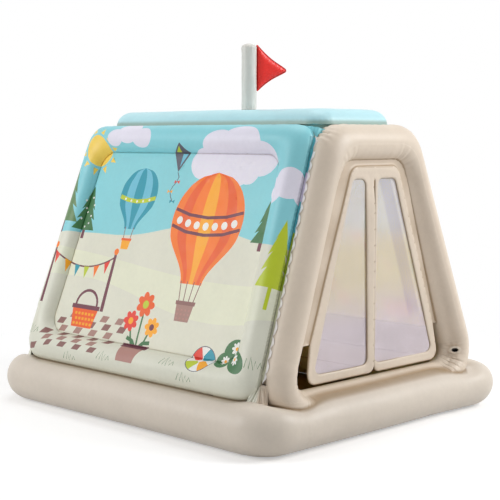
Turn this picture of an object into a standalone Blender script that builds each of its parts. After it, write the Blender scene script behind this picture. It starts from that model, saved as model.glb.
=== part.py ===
"""Inflatable play tent: ring base, two door-end frames, two printed walls, roof, flag and mesh door."""
import math

import bmesh
import bpy
from mathutils import Matrix, Vector

# Base ring, in metres
RING_X = 1.120
RING_Y = 1.270
RING_WIDTH = 0.156
RING_HEIGHT = 0.153
RING_CORNER_R = 0.050
FLOOR_THICK = 0.002

# Corner seams, where each end frame meets a side wall
SEAM_OUT_X = 0.017
SEAM_IN_Y = 0.023
SEAM_TOP_X = 0.224
SEAM_TOP_Y = 0.4985
WALL_HEIGHT = 0.750
WELD_WIDTH = 0.008
WELD_THICK = 0.001
WELD_START = 0.0013
WELD_END_GAP = 0.055

# End frames, front and back
FRAME_R = 0.057
FRAME_SET_OUT = 0.010
SILL_RISE = 0.010
FRAME_TOP_CORNER_R = 0.100
FRAME_FOOT_CORNER_R = 0.095

# Side walls
WALL_R = 0.048
WALL_SINK = 0.014
WALL_CORNER_R = 0.055
SHEET_THICK = 0.002

# Roof cushion
ROOF_HALF_X = 0.176
ROOF_HALF_Y = 0.482
ROOF_RISE = 0.0475
ROOF_SINK = 0.041
ROOF_EDGE = 0.055
ROOF_CORNER_R = 0.070
ROOF_CROWN = 0.0015
ROOF_FLAT_X = 0.060
ROOF_FLAT_Y = 0.370
ROOF_EDGE_STEPS = 5
# Underside levels: share of the sink below the tube crests, share of the edge's rounding
ROOF_UNDERSIDE = ((1.0, 0.55), (0.85, 0.22), (0.55, 0.0), (0.20, 0.0))

# Flag pole and flag
POLE_X = 0.010
POLE_Y = -0.010
POLE_R = 0.0245
POLE_LENGTH = 0.215
POLE_DOME = 0.014
POLE_DOME_STEPS = 4
POLE_FOOT_HEIGHT = 0.006
POLE_FOOT_IN = 0.0015
FLAG_HEIGHT = 0.155
FLAG_LENGTH = 0.099
FLAG_THICK = 0.020
FLAG_TIP_SHARE = 0.54
FLAG_SLOPE = 0.016
FLAG_SHOULDER = 0.006
FLAG_SHOULDER_SHARE = 0.33
FLAG_DROP = 0.002
FLAG_TURN = math.radians(-30.0)
FLAG_CORNER_R = 0.008

# Door: one upright sheet in the front frame, slit up its middle
DOOR_SET_BACK = 0.007
DOOR_THICK = 0.0006
DOOR_INNER_X = 0.133
DOOR_LEAN = 0.368
DOOR_TOP_Z = 0.735
SLIT_TOP_Z = 0.738
SLIT_GAP = 0.0015
WELD_LOW_Z = 0.283
DOOR_HEM_GAP = 0.003
DOOR_CORNER_R = 0.032
SLIT_CORNER_R = 0.018
FOLD_GAP = 0.0009
NET_FOLD_GAP = 0.003
PANE_TOP_RISE = 0.005
PANE_HEM = 0.029
PANE_SIDE = 0.033
PANE_CORNER_R = 0.020
CORNER_X = {"left": 0.296, "right": 0.331}
FREE_TOP_X = {"left": 0.283, "right": 0.301}
SLIT_HEM_TOP = {"left": 0.040, "right": 0.017}
SLIT_HEM_LOW = {"left": 0.028, "right": 0.009}

# Netting in the door panes
NET_COLUMNS = 6
NET_ROWS = 16
NET_STRAND = 0.0025
NET_THICK = 0.0005
NET_TUCK = 0.006

# Air valves, one for each chamber
VALVE_OVAL = 0.62
VALVE_FLANGE_R = 0.020
VALVE_CUP_R = 0.0125
VALVE_BORE_R = 0.0110
VALVE_DEPTH = 0.020
VALVE_FLANGE_THICK = 0.003
VALVE_SINK = 0.0015
VALVE_FLOOR = 0.002
PLUG_LENGTH = 0.008
PLUG_LIP = 0.002
PLUG_GRIP_SHARE = 0.6
FRAME_VALVE_Z = 0.205
FRAME_VALVE_TURN = math.radians(222.0)
WALL_VALVE_Z = 0.400
RING_VALVE_X = 0.250
RING_VALVE_TILT = math.radians(20.0)
ROOF_VALVE_TILT = math.radians(45.0)

# Clearances and facet counts
GAP = 0.0003
MERGE = 0.00002
MIN_CORNER_R = 0.004
CORNER_STEPS = 6
FLAG_CORNER_STEPS = 3
TUBE_SIDES = 16
VALVE_SIDES = 16
POLE_SIDES = 20

# Heights and places worked out from the sizes above
RING_MID_X = (RING_X - RING_WIDTH) / 2
RING_MID_Y = (RING_Y - RING_WIDTH) / 2
FRAME_LOW_Z = RING_HEIGHT + SILL_RISE - FRAME_R
WALL_TOP_Z = RING_HEIGHT + WALL_HEIGHT
FRAME_TOP_Z = WALL_TOP_Z - FRAME_R
WALL_LOW_Z = RING_HEIGHT - WALL_SINK + WALL_R
WALL_HIGH_Z = WALL_TOP_Z - WALL_R
SEAM_LOW_X = RING_MID_X + SEAM_OUT_X
SEAM_LOW_Y = RING_MID_Y - SEAM_IN_Y
LEG_LEAN = math.atan((SEAM_LOW_X - SEAM_TOP_X) / (FRAME_TOP_Z - FRAME_LOW_Z))
FRAME_IN = math.sqrt(FRAME_R ** 2 - FRAME_SET_OUT ** 2) / math.cos(LEG_LEAN)
ROOF_TOP_Z = WALL_TOP_Z + ROOF_RISE
DOOR_Y = -(SEAM_LOW_Y + FRAME_SET_OUT - DOOR_SET_BACK)
DOOR_LOW_Z = RING_HEIGHT + SILL_RISE + DOOR_HEM_GAP
PANE_TOP_Z = SLIT_TOP_Z + PANE_TOP_RISE

SIDES = {"left": -1, "right": 1}
ENDS = {"front": -1, "back": 1}


def clear_scene():
    """Take every object out of the open scene."""
    for obj in list(bpy.data.objects):
        bpy.data.objects.remove(obj)


def collection(name):
    """Return a collection in the scene, made when it is missing."""
    found = bpy.data.collections.get(name) or bpy.data.collections.new(name)
    if name not in bpy.context.scene.collection.children:
        bpy.context.scene.collection.children.link(found)
    return found


def material(name, colour, roughness):
    """Return a plain Principled material."""
    mat = bpy.data.materials.get(name)
    if mat is None:
        mat = bpy.data.materials.new(name)
        mat.use_nodes = True
        shader = mat.node_tree.nodes["Principled BSDF"]
        shader.inputs["Base Color"].default_value = (*colour, 1.0)
        shader.inputs["Roughness"].default_value = roughness
        shader.inputs["Metallic"].default_value = 0.0
    return mat


def cream_vinyl():
    return material("cream_vinyl", (0.74, 0.65, 0.54), 0.35)


def print_vinyl():
    return material("print_vinyl", (0.45, 0.66, 0.66), 0.35)


def roof_vinyl():
    return material("roof_vinyl", (0.42, 0.76, 0.80), 0.35)


def flag_vinyl():
    return material("flag_vinyl", (0.78, 0.03, 0.02), 0.30)


def net_mesh():
    return material("net_mesh", (0.62, 0.58, 0.64), 0.80)


def valve_vinyl():
    return material("valve_vinyl", (0.78, 0.72, 0.66), 0.30)


def plug_vinyl():
    return material("plug_vinyl", (0.05, 0.04, 0.035), 0.45)


def add_object(name, mesh, mat, group="play_tent"):
    """Put a mesh in the scene as a named object."""
    obj = bpy.data.objects.new(name, mesh)
    collection(group).objects.link(obj)
    if mat is not None:
        mesh.materials.append(mat)
        mesh.shade_smooth()
        mesh.set_sharp_from_angle(angle=math.radians(40.0))
    return obj


def add_cutter(name, mesh):
    """Put a mesh in the scene as a hidden cutter."""
    obj = add_object(name, mesh, None, "cutters")
    obj.hide_render = True
    obj.display_type = "WIRE"
    return obj


def cut(obj, cutter):
    """Take the cutter's space out of an object."""
    mod = obj.modifiers.new("cut_" + cutter.name, "BOOLEAN")
    mod.operation = "DIFFERENCE"
    mod.solver = "EXACT"
    mod.object = cutter


class Panel:
    """A leaning flat wall, with places given across it, up its slope and out of it."""

    def __init__(self, base, across, up):
        self.base = Vector(base)
        self.across = Vector(across).normalized()
        self.up = Vector(up).normalized()
        self.out = self.across.cross(self.up)

    def slope(self, z):
        return (z - self.base.z) / self.up.z

    def at(self, u, v, out=0.0):
        return self.base + u * self.across + v * self.up + out * self.out


def seam_share(z):
    return (z - FRAME_LOW_Z) / (FRAME_TOP_Z - FRAME_LOW_Z)


def seam_x(z):
    return SEAM_LOW_X + seam_share(z) * (SEAM_TOP_X - SEAM_LOW_X)


def seam_y(z):
    return SEAM_LOW_Y + seam_share(z) * (SEAM_TOP_Y - SEAM_LOW_Y)


def seam_point(side, end, z):
    return Vector((SIDES[side] * seam_x(z), ENDS[end] * seam_y(z), z))


def end_panel(end):
    """The middle plane of an end frame."""
    sign = ENDS[end]
    low = Vector((0.0, sign * (seam_y(FRAME_LOW_Z) + FRAME_SET_OUT), FRAME_LOW_Z))
    top = Vector((0.0, sign * (seam_y(FRAME_TOP_Z) + FRAME_SET_OUT), FRAME_TOP_Z))
    return Panel(low, (-sign, 0.0, 0.0), top - low)


def side_panel(side):
    """The middle plane of a side wall."""
    sign = SIDES[side]
    low = Vector((sign * seam_x(WALL_LOW_Z), 0.0, WALL_LOW_Z))
    top = Vector((sign * seam_x(WALL_HIGH_Z), 0.0, WALL_HIGH_Z))
    return Panel(low, (0.0, sign, 0.0), top - low)


def line_crossing(point_a, dir_a, point_b, dir_b):
    """Where two lines of a plane cross."""
    across = dir_a.x * dir_b.y - dir_a.y * dir_b.x
    reach = ((point_b.x - point_a.x) * dir_b.y - (point_b.y - point_a.y) * dir_b.x) / across
    return point_a + dir_a * reach


def grown_corners(corners, grow):
    """Move every edge of an anticlockwise outline outwards by the same distance."""
    points = [Vector(corner[:2]) for corner in corners]
    count = len(points)
    lines = []
    for index, point in enumerate(points):
        along = (points[(index + 1) % count] - point).normalized()
        lines.append((point + grow * Vector((along.y, -along.x)), along))
    moved = []
    for index, corner in enumerate(corners):
        before, along_before = lines[index - 1]
        after, along_after = lines[index]
        place = line_crossing(before, along_before, after, along_after)
        radius = corner[2] + grow
        moved.append((place.x, place.y, max(radius, MIN_CORNER_R)))
    return moved


def rounded(corners, steps=CORNER_STEPS):
    """Turn corners given as (u, v, radius) into the points of a rounded outline."""
    points = []
    count = len(corners)
    for index, (u, v, radius) in enumerate(corners):
        corner = Vector((u, v))
        if radius == 0.0:
            points.append(corner)
            continue
        to_last = (Vector(corners[index - 1][:2]) - corner).normalized()
        to_next = (Vector(corners[(index + 1) % count][:2]) - corner).normalized()
        half = to_last.angle(to_next) / 2
        centre = corner + (to_last + to_next).normalized() * radius / math.sin(half)
        start = corner + to_last * radius / math.tan(half) - centre
        turn = math.pi - 2 * half
        if start.cross(corner + to_next * radius / math.tan(half) - centre) < 0:
            turn = -turn
        for step in range(steps + 1):
            points.append(centre + Matrix.Rotation(turn * step / steps, 2) @ start)
    return points


def box_corners(half_u, half_v, radius):
    """The corners of a centred rectangle, anticlockwise."""
    return [(-half_u, -half_v, radius), (half_u, -half_v, radius),
            (half_u, half_v, radius), (-half_u, half_v, radius)]


def loft(name, rings, closed):
    """Join rings of equally many points into one closed surface."""
    bm = bmesh.new()
    rows = [[bm.verts.new(point) for point in ring] for ring in rings]
    count = len(rows[0])
    pairs = list(zip(rows, rows[1:]))
    if closed:
        pairs.append((rows[-1], rows[0]))
    else:
        bm.faces.new(rows[0])
        bm.faces.new(rows[-1])
    for low, high in pairs:
        for index in range(count):
            after = (index + 1) % count
            bm.faces.new((low[index], low[after], high[after], high[index]))
    bmesh.ops.recalc_face_normals(bm, faces=bm.faces[:])
    return finish_mesh(name, bm)


def finish_mesh(name, bm):
    mesh = bpy.data.meshes.new(name)
    bm.to_mesh(mesh)
    bm.free()
    return mesh


def tube_loop(name, panel, corners, radius, grow=0.0):
    """An air tube that follows a rounded outline in a panel's plane."""
    rings = []
    for side in range(TUBE_SIDES):
        angle = 2 * math.pi * side / TUBE_SIDES
        reach = (radius + grow) * math.cos(angle)
        out = (radius + grow) * math.sin(angle)
        ring = [panel.at(p.x, p.y, out) for p in rounded(grown_corners(corners, reach))]
        rings.append(ring)
    return loft(name, rings, closed=True)


def ring_mesh(name, grow=0.0):
    """The base ring, whose lowest facet is the flat it rests on."""
    corners = box_corners(RING_MID_X, RING_MID_Y, RING_CORNER_R)
    rings = []
    flat = math.cos(math.pi / TUBE_SIDES)
    for side in range(TUBE_SIDES):
        angle = 2 * math.pi * (side + 0.5) / TUBE_SIDES
        reach = (RING_WIDTH / 2 + grow) / flat * math.cos(angle)
        z = RING_HEIGHT / 2 + (RING_HEIGHT / 2 + grow) / flat * math.sin(angle)
        outline = rounded(grown_corners(corners, reach))
        rings.append([Vector((p.x, p.y, z)) for p in outline])
    return loft(name, rings, closed=True)


def plate(name, outlines, thickness, place):
    """A flat sheet with rounded outlines, the first its edge and the rest its holes."""
    curve = bpy.data.curves.new(name, "CURVE")
    curve.dimensions = "2D"
    curve.fill_mode = "BOTH"
    curve.extrude = thickness / 2
    for points in outlines:
        spline = curve.splines.new("POLY")
        spline.points.add(len(points) - 1)
        for spot, point in zip(spline.points, points):
            spot.co = (point.x, point.y, 0.0, 1.0)
        spline.use_cyclic_u = True
    holder = bpy.data.objects.new(name, curve)
    bpy.context.scene.collection.objects.link(holder)
    bpy.context.view_layer.update()
    evaluated = holder.evaluated_get(bpy.context.evaluated_depsgraph_get())
    mesh = bpy.data.meshes.new_from_object(evaluated)
    bpy.data.objects.remove(holder)
    mesh.materials.clear()
    bm = bmesh.new()
    bm.from_mesh(mesh)
    bmesh.ops.remove_doubles(bm, verts=bm.verts[:], dist=MERGE)
    bmesh.ops.transform(bm, matrix=place, verts=bm.verts[:])
    bmesh.ops.recalc_face_normals(bm, faces=bm.faces[:])
    bm.to_mesh(mesh)
    bm.free()
    mesh.name = name
    return mesh


def basis(across, up, out, origin):
    """The matrix that carries flat drawing axes to a place in the tent."""
    matrix = Matrix((across, up, out)).transposed().to_4x4()
    matrix.translation = origin
    return matrix


def trim(mesh, point, normal):
    """Cut away what lies on the normal's side of a plane, and close the cut."""
    bm = bmesh.new()
    bm.from_mesh(mesh)
    everything = bm.verts[:] + bm.edges[:] + bm.faces[:]
    made = bmesh.ops.bisect_plane(bm, geom=everything, dist=MERGE / 10, plane_co=point,
                                  plane_no=normal, clear_outer=True)
    rim = [item for item in made["geom_cut"] if isinstance(item, bmesh.types.BMEdge)]
    bmesh.ops.edgeloop_fill(bm, edges=rim)
    bmesh.ops.recalc_face_normals(bm, faces=bm.faces[:])
    bm.to_mesh(mesh)
    bm.free()


def frame_corners(end):
    """The middle line of an end frame, across and up its panel."""
    panel = end_panel(end)
    low = seam_x(FRAME_LOW_Z) - FRAME_IN
    top = seam_x(FRAME_TOP_Z) - FRAME_IN
    low_v = panel.slope(FRAME_LOW_Z)
    top_v = panel.slope(FRAME_TOP_Z)
    return [(-low, low_v, FRAME_FOOT_CORNER_R), (low, low_v, FRAME_FOOT_CORNER_R),
            (top, top_v, FRAME_TOP_CORNER_R), (-top, top_v, FRAME_TOP_CORNER_R)]


def wall_corners(side):
    """The middle line of a side wall's air tube, across and up its panel."""
    panel = side_panel(side)
    low = seam_y(WALL_LOW_Z) - WALL_R
    top = seam_y(WALL_HIGH_Z) - WALL_R
    low_v = panel.slope(WALL_LOW_Z)
    top_v = panel.slope(WALL_HIGH_Z)
    return [(-low, low_v, WALL_CORNER_R), (low, low_v, WALL_CORNER_R),
            (top, top_v, WALL_CORNER_R), (-top, top_v, WALL_CORNER_R)]


def leg_centre(side, end, z):
    """The middle of an end frame's leg at a height."""
    return Vector((SIDES[side] * (seam_x(z) - FRAME_IN), ENDS[end] * (seam_y(z) + FRAME_SET_OUT), z))


def post_centre(side, end, z):
    """The middle of a side wall's upright tube at a height."""
    return Vector((SIDES[side] * seam_x(z), ENDS[end] * (seam_y(z) - WALL_R), z))


def seam_direction(side, end):
    return (seam_point(side, end, FRAME_TOP_Z) - seam_point(side, end, FRAME_LOW_Z)).normalized()


def corner_normal(side, end):
    """The way from an end frame to the wall beside it, square to their shared seam."""
    along = seam_direction(side, end)
    towards = post_centre(side, end, FRAME_LOW_Z) - leg_centre(side, end, FRAME_LOW_Z)
    return (towards - towards.dot(along) * along).normalized()


def build_base(ring_cutter_users):
    """The base ring with its floor sheet."""
    ring = add_object("base_ring", ring_mesh("base_ring"), cream_vinyl())
    flat = math.cos(math.pi / TUBE_SIDES)
    foot = math.pi * 1.5 + math.pi / TUBE_SIDES
    knee = foot + 2 * math.pi / TUBE_SIDES
    foot_x = RING_WIDTH / 2 / flat * math.cos(foot)
    knee_x = RING_WIDTH / 2 / flat * math.cos(knee)
    knee_z = RING_HEIGHT / 2 * (1 + math.sin(knee) / flat)
    reach = foot_x + (knee_x - foot_x) * FLOOR_THICK / knee_z + GAP
    corners = grown_corners(box_corners(RING_MID_X, RING_MID_Y, RING_CORNER_R), -reach)
    place = Matrix.Translation((0.0, 0.0, FLOOR_THICK / 2))
    floor = plate("floor_sheet", [rounded(corners)], FLOOR_THICK, place)
    add_object("floor_sheet", floor, cream_vinyl())
    cutter = add_cutter("ring_cutter", ring_mesh("ring_cutter", GAP))
    for obj in ring_cutter_users:
        cut(obj, cutter)
    return ring


def build_end_frame(end):
    """The air tube round the doorway end or the back end."""
    name = end + "_frame"
    mesh = tube_loop(name, end_panel(end), frame_corners(end), FRAME_R)
    for side in SIDES:
        normal = corner_normal(side, end)
        trim(mesh, seam_point(side, end, FRAME_LOW_Z) - normal * GAP / 2, normal)
    return add_object(name, mesh, cream_vinyl())


def build_side_wall(side):
    """A printed side wall: an air tube all round and a flat sheet inside it."""
    name = side + "_wall_tube"
    panel = side_panel(side)
    mesh = tube_loop(name, panel, wall_corners(side), WALL_R)
    for end in ENDS:
        normal = -corner_normal(side, end)
        trim(mesh, seam_point(side, end, FRAME_LOW_Z) - normal * GAP / 2, normal)
    tube = add_object(name, mesh, print_vinyl())
    outline = rounded(grown_corners(wall_corners(side), -(WALL_R + GAP)))
    place = basis(panel.across, panel.up, panel.out, panel.base)
    sheet = plate(side + "_wall_sheet", [outline], SHEET_THICK, place)
    add_object(side + "_wall_sheet", sheet, print_vinyl())
    return tube


def build_back_sheet():
    """The plain sheet inside the back frame."""
    panel = end_panel("back")
    outline = rounded(grown_corners(frame_corners("back"), -(FRAME_R + GAP)))
    place = basis(panel.across, panel.up, panel.out, panel.base)
    sheet = plate("back_wall_sheet", [outline], SHEET_THICK, place)
    add_object("back_wall_sheet", sheet, cream_vinyl())


def build_corner_weld(side, end):
    """The welded edge that stands out of a corner seam."""
    along = seam_direction(side, end)
    normal = corner_normal(side, end)
    out = along.cross(normal)
    if out.x * SIDES[side] < 0:
        out = -out
    start = seam_point(side, end, WALL_LOW_Z + WELD_END_GAP)
    finish = seam_point(side, end, WALL_HIGH_Z - WELD_END_GAP)
    centre = (start + finish) / 2 + out * (WELD_START + WELD_WIDTH / 2)
    size = Matrix.Diagonal(((finish - start).length, WELD_THICK, WELD_WIDTH, 1.0))
    bm = bmesh.new()
    bmesh.ops.create_cube(bm, size=1.0, matrix=basis(along, normal, out, centre) @ size)
    bmesh.ops.recalc_face_normals(bm, faces=bm.faces[:])
    name = "corner_weld_" + end + "_" + side
    add_object(name, finish_mesh(name, bm), cream_vinyl())


def roof_outline(z, inset):
    corners = box_corners(ROOF_HALF_X - inset, ROOF_HALF_Y - inset, ROOF_CORNER_R - inset)
    return [Vector((p.x, p.y, z)) for p in rounded(corners)]


def build_roof(tube_rooms):
    """The roof cushion, which rests in the frame formed by the four top tubes."""
    rings = []
    for share, inset in ROOF_UNDERSIDE:
        rings.append(roof_outline(WALL_TOP_Z - ROOF_SINK * share, ROOF_EDGE * inset))
    for step in range(ROOF_EDGE_STEPS + 1):
        angle = math.pi / 2 * step / ROOF_EDGE_STEPS
        z = WALL_TOP_Z + (ROOF_RISE - ROOF_CROWN) * math.sin(angle)
        rings.append(roof_outline(z, ROOF_EDGE * (1 - math.cos(angle))))
    corners = box_corners(ROOF_FLAT_X, ROOF_FLAT_Y, MIN_CORNER_R)
    rings.append([Vector((p.x, p.y, ROOF_TOP_Z)) for p in rounded(corners)])
    roof = add_object("roof_cushion", loft("roof_cushion", rings, closed=False), roof_vinyl())
    for room in tube_rooms:
        cut(roof, room)
    return roof


def turned(name, profile, sides, mat, group="play_tent"):
    """A turned piece from a profile of (radius, height), read from its top down its outside."""
    mesh = bpy.data.meshes.new(name)
    verts = [(radius, 0.0, z) for radius, z in profile]
    mesh.from_pydata(verts, [(index, index + 1) for index in range(len(verts) - 1)], [])
    if group == "cutters":
        obj = add_cutter(name, mesh)
    else:
        obj = add_object(name, mesh, mat, group)
    mod = obj.modifiers.new("turn", "SCREW")
    mod.steps = sides
    mod.render_steps = sides
    mod.use_merge_vertices = True
    mod.merge_threshold = MERGE
    mod.use_smooth_shade = True
    return obj


def build_pole():
    """The upright air tube that carries the flag."""
    profile = [(0.0, POLE_LENGTH)]
    for step in range(1, POLE_DOME_STEPS + 1):
        angle = math.pi / 2 * step / POLE_DOME_STEPS
        profile.append((POLE_R * math.sin(angle), POLE_LENGTH - POLE_DOME * (1 - math.cos(angle))))
    profile += [(POLE_R, POLE_FOOT_HEIGHT), (POLE_R - POLE_FOOT_IN, 0.0), (0.0, 0.0)]
    pole = turned("flag_pole", profile, POLE_SIDES, cream_vinyl())
    pole.location = (POLE_X, POLE_Y, ROOF_TOP_Z + GAP)


def build_flag():
    """The puffed three-cornered flag, held along the pole's side."""
    top = POLE_LENGTH - FLAG_DROP
    start = POLE_R + GAP
    tip_height = top - FLAG_HEIGHT * FLAG_TIP_SHARE
    corners = [(start, top - FLAG_HEIGHT, FLAG_CORNER_R),
               (start + FLAG_LENGTH, tip_height, FLAG_CORNER_R),
               (start, top, FLAG_CORNER_R)]
    along = Vector((math.cos(FLAG_TURN), math.sin(FLAG_TURN), 0.0))
    pole_foot = Vector((POLE_X, POLE_Y, ROOF_TOP_Z + GAP))
    panel = Panel(pole_foot, along, (0.0, 0.0, 1.0))
    face = FLAG_THICK / 2
    shoulder = FLAG_THICK * FLAG_SHOULDER_SHARE
    levels = ((FLAG_SLOPE, -face), (FLAG_SHOULDER, -shoulder), (0.0, 0.0),
              (FLAG_SHOULDER, shoulder), (FLAG_SLOPE, face))
    rings = []
    for inset, height in levels:
        outline = rounded(grown_corners(corners, -inset), FLAG_CORNER_STEPS)
        rings.append([panel.at(p.x, p.y, height) for p in outline])
    add_object("flag", loft("flag", rings, closed=False), flag_vinyl())


def door_edge_x(z):
    """How far the door's slanting weld lies from the middle at a height."""
    return DOOR_INNER_X + (DOOR_TOP_Z - z) * DOOR_LEAN


def door_place(sign):
    """Carry a drawing of the right door half to its side, in the door's upright plane."""
    return basis(Vector((sign, 0.0, 0.0)), Vector((0.0, 0.0, 1.0)), Vector((0.0, -sign, 0.0)),
                 Vector((0.0, DOOR_Y, 0.0)))


def pane_corners(side):
    """The netted pane of one door half, drawn for the right side."""
    low = DOOR_LOW_Z + PANE_HEM
    return [(SLIT_HEM_LOW[side], low, PANE_CORNER_R),
            (CORNER_X[side] - PANE_SIDE, low, PANE_CORNER_R),
            (door_edge_x(PANE_TOP_Z) - PANE_SIDE, PANE_TOP_Z, PANE_CORNER_R),
            (SLIT_HEM_TOP[side], PANE_TOP_Z, PANE_CORNER_R)]


def door_half(side):
    """One half of the door sheet, from the slit to inside the frame's tube."""
    inside_tube = FRAME_IN / 2
    frame_top = seam_x(FRAME_TOP_Z) - FRAME_IN
    edge = [(SLIT_GAP / 2, DOOR_LOW_Z, SLIT_CORNER_R),
            (CORNER_X[side], DOOR_LOW_Z, DOOR_CORNER_R),
            (FREE_TOP_X[side], WELD_LOW_Z, 0.0),
            (door_edge_x(WELD_LOW_Z) + inside_tube, WELD_LOW_Z, 0.0),
            (frame_top, FRAME_TOP_Z - FRAME_R / 2, 0.0),
            (GAP / 2, FRAME_TOP_Z - FRAME_R / 2, 0.0),
            (GAP / 2, SLIT_TOP_Z, 0.0),
            (SLIT_GAP / 2, SLIT_TOP_Z, 0.0)]
    return [rounded(edge), rounded(pane_corners(side))]


def fold_line(side):
    """The fold from the top of the slit to the door half's lower outer corner."""
    sign = SIDES[side]
    top = Vector((0.0, DOOR_Y, SLIT_TOP_Z))
    low = Vector((sign * CORNER_X[side], DOOR_Y, DOOR_LOW_Z))
    along = (top - low).normalized()
    away = Vector((sign * along.z, 0.0, -sign * along.x))
    return top, low, along, away


def net_mesh_data(name, side):
    """A flat net of crossing strands that fills a pane, tucked behind its edges."""
    corners = [Vector(c[:2]) for c in grown_corners(pane_corners(side), NET_TUCK)]
    low_left, low_right, top_right, top_left = corners
    height = (top_left - low_left).length
    width = (low_right - low_left).length

    def cell_edges(count, length):
        share = NET_STRAND / length
        pitch = (1.0 - share) / count
        marks = []
        for index in range(count + 1):
            marks += [index * pitch, index * pitch + share]
        return marks

    columns = cell_edges(NET_COLUMNS, width)
    rows = cell_edges(NET_ROWS, height)
    bm = bmesh.new()
    grid = []
    for v in rows:
        left = low_left.lerp(top_left, v)
        right = low_right.lerp(top_right, v)
        grid.append([bm.verts.new((*left.lerp(right, u), 0.0)) for u in columns])
    for row in range(len(rows) - 1):
        for column in range(len(columns) - 1):
            if row % 2 and column % 2:
                continue
            bm.faces.new((grid[row][column], grid[row][column + 1],
                          grid[row + 1][column + 1], grid[row + 1][column]))
    made = bmesh.ops.extrude_face_region(bm, geom=bm.faces[:])
    lifted = [item for item in made["geom"] if isinstance(item, bmesh.types.BMVert)]
    bmesh.ops.translate(bm, verts=lifted, vec=(0.0, 0.0, NET_THICK))
    clear = DOOR_THICK / 2 + GAP
    lift = clear if SIDES[side] < 0 else -(clear + NET_THICK)
    bmesh.ops.transform(bm, matrix=door_place(SIDES[side]) @ Matrix.Translation((0.0, 0.0, lift)),
                        verts=bm.verts[:])
    bmesh.ops.recalc_face_normals(bm, faces=bm.faces[:])
    return finish_mesh(name, bm)


def build_door_half(side, frame_cutter):
    """A door half: the part that stays and the flap that folds, each with its netting."""
    sign = SIDES[side]
    top, low, along, away = fold_line(side)
    hinge = bpy.data.objects.new("fold_" + side, None)
    collection("play_tent").objects.link(hinge)
    hinge.location = low
    to_hinge = Matrix.Translation(-low)
    sheet = plate("door_sheet_" + side, door_half(side), DOOR_THICK, door_place(sign))
    net = net_mesh_data("door_net_" + side, side)
    for kind, source, gap, mat in (("panel", sheet, FOLD_GAP, cream_vinyl()),
                                   ("net", net, NET_FOLD_GAP, net_mesh())):
        fixed = source.copy()
        trim(fixed, low + away * gap / 2, -away)
        moving = source.copy()
        trim(moving, low - away * gap / 2, away)
        moving.transform(to_hinge)
        fixed_name = "door_" + kind + "_" + side
        flap_name = "door_flap_" + side if kind == "panel" else "door_flap_net_" + side
        held = add_object(fixed_name, fixed, mat)
        if kind == "panel":
            cut(held, frame_cutter)
        flap = add_object(flap_name, moving, mat)
        flap.parent = hinge
        bpy.data.meshes.remove(source)


def build_valve(name, holder, crest, out, across):
    """An air valve sunk in its chamber's wall, with its plug down inside it."""
    up = out.cross(across).normalized()
    across = up.cross(out).normalized()
    place = basis(across, up, out, crest - out * VALVE_SINK)
    low = -VALVE_DEPTH
    flange = -VALVE_FLANGE_THICK
    seat_profile = [(0.0, low + VALVE_FLOOR), (VALVE_BORE_R, low + VALVE_FLOOR), (VALVE_BORE_R, 0.0),
                    (VALVE_FLANGE_R, 0.0), (VALVE_FLANGE_R, flange), (VALVE_CUP_R, flange),
                    (VALVE_CUP_R, low), (0.0, low)]
    seat = turned(name + "_valve", seat_profile, VALVE_SIDES, valve_vinyl())
    plug_low = low + VALVE_FLOOR + GAP
    plug_top = plug_low + PLUG_LENGTH
    plug_r = VALVE_BORE_R - GAP
    grip_r = plug_r * PLUG_GRIP_SHARE
    plug_profile = [(0.0, plug_top), (grip_r, plug_top), (grip_r, plug_top - PLUG_LIP),
                    (plug_r, plug_top - PLUG_LIP), (plug_r, plug_low), (0.0, plug_low)]
    plug = turned(name + "_valve_plug", plug_profile, VALVE_SIDES, plug_vinyl())
    room_r = VALVE_FLANGE_R + GAP
    hole_r = VALVE_CUP_R + GAP
    reach = VALVE_FLANGE_R
    pocket_profile = [(0.0, reach), (room_r, reach), (room_r, flange - GAP), (hole_r, flange - GAP),
                      (hole_r, low - GAP), (0.0, low - GAP)]
    pocket = turned(name + "_valve_pocket", pocket_profile, VALVE_SIDES, None, "cutters")
    for obj in (seat, plug, pocket):
        obj.matrix_world = place @ Matrix.Diagonal((1.0, VALVE_OVAL, 1.0, 1.0))
    cut(holder, pocket)


def frame_valve(end, holder):
    """The valve on a leg of an end frame, low down and turned to the outside."""
    sign = ENDS[end]
    side = "right" if sign < 0 else "left"
    along = (leg_centre(side, end, FRAME_TOP_Z) - leg_centre(side, end, FRAME_LOW_Z)).normalized()
    aim = Vector((-sign * math.cos(FRAME_VALVE_TURN), -sign * math.sin(FRAME_VALVE_TURN), 0.0))
    out = (aim - aim.dot(along) * along).normalized()
    across = Vector((-out.y, out.x, 0.0)).normalized()
    build_valve(end + "_frame", holder, leg_centre(side, end, FRAME_VALVE_Z) + out * FRAME_R, out, across)


def wall_valve(side, holder):
    """The valve on the cabin side of a side wall's rear upright."""
    centre = post_centre(side, "back", WALL_VALVE_Z)
    along = (post_centre(side, "back", FRAME_TOP_Z) - post_centre(side, "back", FRAME_LOW_Z)).normalized()
    aim = Vector((-SIDES[side], -1.0, 0.0)).normalized()
    out = (aim - aim.dot(along) * along).normalized()
    across = Vector((-out.y, out.x, 0.0)).normalized()
    build_valve(side + "_wall", holder, centre + out * WALL_R, out, across)


def ring_valve(holder):
    """The valve on the outside of the ring at the back."""
    out = Vector((0.0, math.cos(RING_VALVE_TILT), math.sin(RING_VALVE_TILT)))
    reach = RING_WIDTH / 2 * out.y, RING_HEIGHT / 2 * out.z
    crest = Vector((RING_VALVE_X, RING_MID_Y + reach[0], RING_HEIGHT / 2 + reach[1]))
    build_valve("ring", holder, crest, out, Vector((1.0, 0.0, 0.0)))


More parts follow.
